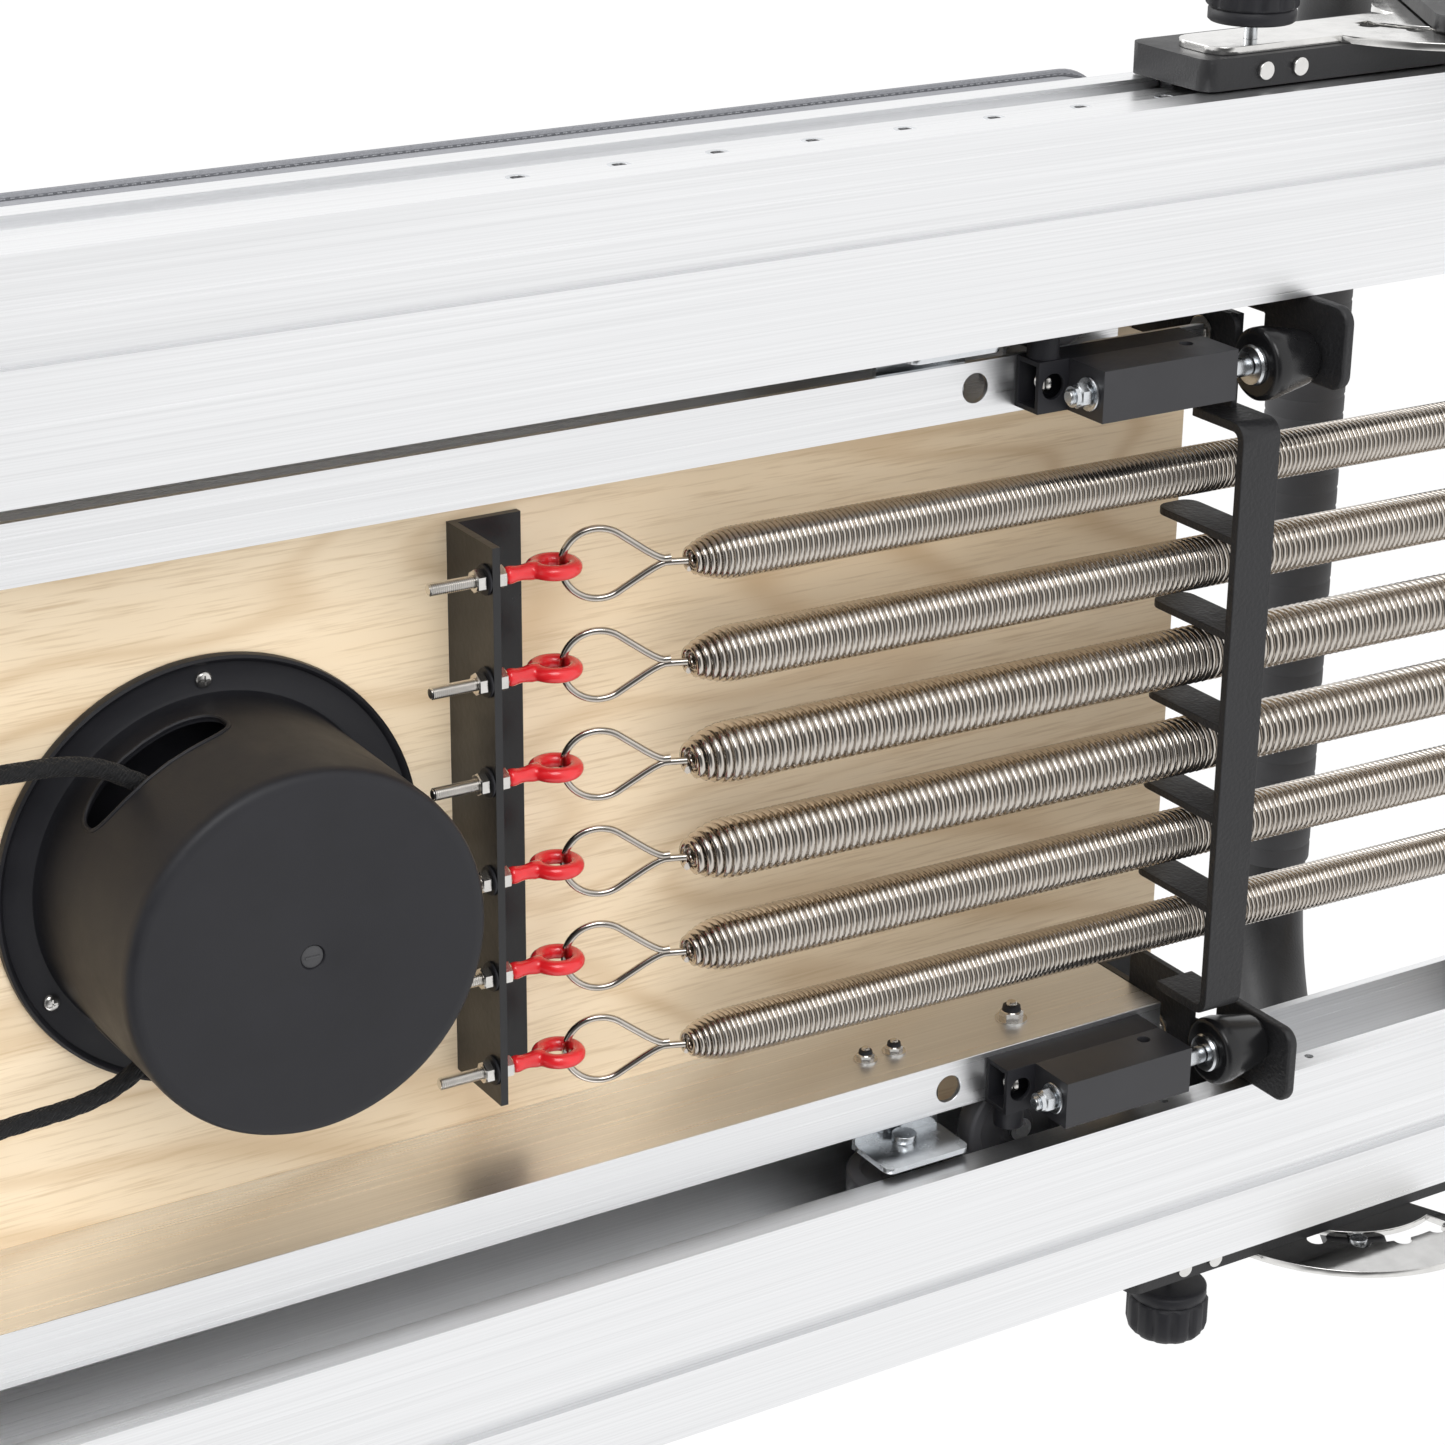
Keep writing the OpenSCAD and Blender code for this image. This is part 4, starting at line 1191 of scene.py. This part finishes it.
class REFORMER_OT_ropes(bpy.types.Operator):
    """Braids the two ropes from the reel to the hand loops"""

    bl_idname = "reformer.ropes"
    bl_label = "Ropes"

    def execute(self, context):
        for (side, sign), flat in zip(SIDES.items(), (LEFT_ROPE, RIGHT_ROPE)):
            route = [at(x, sign * y, -40) for x, y in flat]
            route += [at(x, sign * 150, z) for x, z in ROPE_RISE]
            path = spread(rounded_path(route, 3), 0.0009)

            def braid(ring, turn):
                """Strands that cross over each other round the rope."""
                over = math.sin(6 * turn + ring * 0.52)
                under = math.sin(6 * turn - ring * 0.52)
                return 0.00045 * (max(over, under) - 0.6)

            place(f"rope_{side}", [tube(path, 0.0043, 36, relief=braid)], FINISHES["rope"],
                  "carriage", ["ropes"], angle=180)
        return {"FINISHED"}


# ---------------------------------------------------------------- upholstery


# How far a cushion's two seams lie from its top and from its underside.
SEAM = 0.004
# The cloth settles within this many frames.
SETTLED = 20


def padded_block(name, low, high, corner, pinned, settings):
    """A boxed cushion: the cover swells between its two piped seams."""
    edge = SEAM
    layers = [(low.z, edge * 2), (low.z + edge, 0.0), (high.z - edge, 0.0), (high.z, edge * 2)]
    points = []
    for height, inset in layers:
        points += rounded_loop(low, high, corner, height, 10, inset)
    sides = len(points) // len(layers)
    faces = ring_faces(len(layers), sides)
    faces += [list(range(sides))[::-1], list(range(3 * sides, 4 * sides))]
    block = fresh_mesh(name, [(points, faces)])
    block = baked(name, block, [("REMESH", {"mode": "VOXEL", "voxel_size": settings.voxel})])
    block = swell(name, block, low, high, edge, pinned, settings)
    return baked(name, block, [("SMOOTH", {"factor": 0.4, "iterations": 2}),
                               ("SUBSURF", {"levels": 1, "render_levels": 1})])


def swell(name, mesh, low, high, edge, pinned, settings):
    """Fills the cover with cloth pressure, holding its seams and its underside."""
    cushion = bpy.data.objects.new(name + "_filling", mesh)
    bpy.context.scene.collection.objects.link(cushion)
    held = cushion.vertex_groups.new(name="held")
    start = [vertex.co.copy() for vertex in mesh.vertices]
    for i, point in enumerate(start):
        off_seam = min(abs(point.z - low.z - edge), abs(point.z - high.z + edge))
        if off_seam < settings.voxel * 0.6 or (pinned and point.z < low.z + edge):
            held.add([i], 1.0, "REPLACE")
    cloth = cushion.modifiers.new("Cloth", "CLOTH")
    cloth.settings.use_pressure = True
    cloth.settings.uniform_pressure_force = settings.pressure
    cloth.settings.vertex_group_mass = "held"
    cloth.settings.effector_weights.gravity = 0.0
    scene = bpy.context.scene
    for step in range(1, SETTLED + 1):
        scene.frame_set(step)
    graph = bpy.context.evaluated_depsgraph_get()
    result = bpy.data.meshes.new_from_object(cushion.evaluated_get(graph))
    for point, vertex in zip(start, result.vertices):
        move = vertex.co - point
        if move.length > settings.swell:
            vertex.co = point + move.normalized() * settings.swell
    bpy.data.objects.remove(cushion)
    scene.frame_set(1)
    result.name = name
    return result


def piped_seams(low, high, corner, radius):
    """The piping round a cushion's two seams, with a row of stitches beside each."""
    piping = []
    stitches = []
    for height, way in ((low.z + SEAM, 1), (high.z - SEAM, -1)):
        loop = spread(rounded_loop(low, high, corner, height, 10, -0.0006), 0.004, closed=True)
        piping.append(tube(loop, radius, 8, closed=True))
        row = rounded_loop(low, high, corner, height + way * 0.0045, 10, -0.0008)
        row = spread(row, 0.0022, closed=True)
        for a, b in zip(row[0::2], row[1::2]):
            stitches.append(tube([a, a.lerp(b, 0.5), b], 0.00035, 5))
    return piping, stitches


class REFORMER_OT_upholstery(bpy.types.Operator):
    """Fills and pipes the mat, the headrest and the shoulder pads"""

    bl_idname = "reformer.upholstery"
    bl_label = "Upholstery"

    def execute(self, context):
        settings = context.scene.reformer.cushions
        cushions = [
            ("mat", "carriage", "upholstery", 0.030, 0.75, True),
            ("headrest", "head_cushion", "upholstery", 0.025, 0.7, True),
            ("shoulder_pad_left", "shoulder_rest_left", "shoulder_vinyl", 0.018, 0.85, False),
            ("shoulder_pad_right", "shoulder_rest_right", "shoulder_vinyl", 0.018, 0.85, False),
        ]
        for node, body, finish, corner, fill, pinned in cushions:
            low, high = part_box(node)
            if node == "headrest":
                low.z += 0.0032
                high.x -= 0.013
            margin = Vector((0.003, 0.003, 0.0))
            low, high = low + margin, high - margin
            cover = padded_block(node + "_cover", low, high, corner, pinned, settings)
            cover.shade_smooth()
            cushion = place(node + "_cover", cover, FINISHES[finish], body, [node])
            piping, stitches = piped_seams(low, high, corner, settings.piping / 2)
            place(node + "_piping", piping, FINISHES["piping"], body)
            place(node + "_stitches", stitches, FINISHES["thread"], body)
        low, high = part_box("headrest")
        rod = lathe([(0.0, 0.0), (0.0024, 0.0), (0.003, 0.0006), (0.003, 0.0694), (0.0024, 0.07),
                     (0.0, 0.07)], Vector((high.x - 0.003, -0.035, low.z + 0.0035)), (0, 1, 0), 24)
        place("headrest_hinge_rod", [rod], FINISHES["zinc"], "head_cushion")
        return {"FINISHED"}


# A hand loop's webbing, cut across: height and inset from the outer face, in metres.
STRAP = [(0.0, 0.0004), (0.0008, 0.0), (0.0238, 0.0), (0.0246, 0.0004),
         (0.0246, 0.0026), (0.0238, 0.003), (0.0008, 0.003), (0.0, 0.0026)]


class REFORMER_OT_hand_loops(bpy.types.Operator):
    """Sews the webbing hand loops and their rings"""

    bl_idname = "reformer.hand_loops"
    bl_label = "Hand loops"

    def execute(self, context):
        for side, sign in SIDES.items():
            y = sorted((sign * 120, sign * 235))
            low, high = at(-952, y[0], 19.4), at(-896, y[1], 44)
            rings = []
            for height, inset in STRAP:
                rings += rounded_loop(low, high, 0.027, low.z + height, 12, inset)
            faces = ring_faces(len(STRAP), len(rings) // len(STRAP), closed=True)
            strap = place(f"hand_loop_{side}", [(rings, faces)],
                          FINISHES["webbing"], "carriage", ["hand_loops"])
            strap.data.validate()
            seam = slab(at(-897.2, sign * 150 - 11, 21), at(-894.6, sign * 150 + 11, 42))
            tab = place(f"loop_tab_{side}", [seam], FINISHES["webbing"], "carriage")
            soften(tab, 0.0008)
            turns = [TAU * i / 32 for i in range(32)]
            ring = [at(-889, sign * 150 + math.cos(turn) * 8, 34 + math.sin(turn) * 8)
                    for turn in turns]
            place(f"loop_ring_{side}", [tube(ring, 0.0016, 12, closed=True)], FINISHES["steel"],
                  "carriage", angle=180)
        return {"FINISHED"}


# ---------------------------------------------------------------- footbar and knobs


class REFORMER_OT_controls(bpy.types.Operator):
    """Shapes the footbar's grip and the two fluted pull knobs"""

    bl_idname = "reformer.controls"
    bl_label = "Grip and knobs"

    def execute(self, context):
        low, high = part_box("footbar_grip")
        radius = (high.z - low.z) / 2
        length = high.y - low.y
        profile = [(radius - 0.0019, 0.0), (radius - 0.0004, 0.0), (radius, 0.0012)]
        count = round(length / 0.012)
        for i in range(1, count):
            run = length * i / count
            profile += [(radius, run - 0.0018), (radius - 0.0006, run), (radius, run + 0.0018)]
        profile += [(radius, length - 0.0012), (radius - 0.0004, length),
                    (radius - 0.0019, length)]
        centre = Vector(((low.x + high.x) / 2, low.y, (low.z + high.z) / 2))
        place("grip_sleeve", [lathe(profile, centre, (0, 1, 0), 64, closed=True)],
              FINISHES["charcoal_rubber"], "footbar_frame", ["footbar_grip"])
        for side, sign in SIDES.items():
            self.knob(side, sign)
        return {"FINISHED"}

    def knob(self, side, sign):
        """A fluted knob with a plain skirt and a locking pin."""
        low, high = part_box(f"pull_knob_{side}")
        face = high.y if sign > 0 else low.y
        centre = Vector(((low.x + high.x) / 2, face - sign * 0.032, (low.z + high.z) / 2))
        stations = [(0.0, 17.0, 0.0), (0.4, 20.5, 0.0), (1.4, 21.6, 0.0), (6.2, 21.6, 0.0),
                    (7.0, 20.8, 0.0), (7.8, 22.0, 0.2), (9.0, 22.9, 1.0), (23.0, 22.9, 1.0),
                    (26.5, 22.0, 0.8), (29.5, 19.6, 0.4), (31.4, 16.2, 0.1), (32.0, 13.0, 0.0),
                    (31.2, 11.5, 0.0), (31.0, 0.02, 0.0)]
        steps = 96
        points = []
        for out, radius, flute in stations:
            for j in range(steps):
                turn = TAU * j / steps
                cut = flute * 1.9 * max(0.0, math.cos(12 * turn)) ** 1.6
                reach = (radius - cut) * MM
                points.append(centre + Vector((math.cos(turn) * reach, sign * out * MM,
                                               math.sin(turn) * reach)))
        faces = ring_faces(len(stations), steps) + [list(range(steps))[::-1]]
        faces.append([(len(stations) - 1) * steps + j for j in range(steps)])
        place(f"fluted_knob_{side}", [(points, faces)], FINISHES["black_moulding"],
              f"knob_{side}", [f"pull_knob_{side}"], angle=50)
        start = low.y if sign > 0 else high.y
        reach = abs(centre.y - start)
        pin = lathe([(0.0, 0.0), (0.0024, 0.0), (0.0033, 0.0009), (0.0033, reach), (0.0, reach)],
                    Vector((centre.x, start, centre.z)), (0, sign, 0), 32)
        place(f"locking_pin_{side}", [pin], FINISHES["zinc"], f"knob_{side}")


# ---------------------------------------------------------------- add-on


class REFORMER_PT_panel(bpy.types.Panel):
    """Lists the reformer's pieces and their sizes."""

    bl_label = "Reformer"
    bl_idname = "REFORMER_PT_panel"
    bl_space_type = "VIEW_3D"
    bl_region_type = "UI"
    bl_category = "Reformer"

    def draw(self, context):
        settings = context.scene.reformer
        groups = (settings.stage, settings.finishes, settings.springs, settings.cushions)
        for group in groups:
            box = self.layout.box()
            for name in group.__annotations__:
                box.prop(group, name)
        for operator in OPERATORS:
            self.layout.operator(operator.bl_idname)


SETTINGS = (SpringSettings, CushionSettings, FinishSettings, StageSettings, ReformerSettings)
OPERATORS = (
    REFORMER_OT_stage,
    REFORMER_OT_finishes,
    REFORMER_OT_springs,
    REFORMER_OT_eyebolts,
    REFORMER_OT_bumpers,
    REFORMER_OT_fasteners,
    REFORMER_OT_reel,
    REFORMER_OT_ropes,
    REFORMER_OT_upholstery,
    REFORMER_OT_hand_loops,
    REFORMER_OT_controls,
)


def register():
    for kind in (*SETTINGS, *OPERATORS, REFORMER_PT_panel):
        bpy.utils.register_class(kind)
    bpy.types.Scene.reformer = bpy.props.PointerProperty(type=ReformerSettings)


def unregister():
    del bpy.types.Scene.reformer
    for kind in reversed((*SETTINGS, *OPERATORS, REFORMER_PT_panel)):
        bpy.utils.unregister_class(kind)


def main():
    """Builds every piece in order."""
    register()
    for operator in OPERATORS:
        getattr(bpy.ops.reformer, operator.bl_idname.split(".")[1])()


if __name__ == "__main__":
    main()
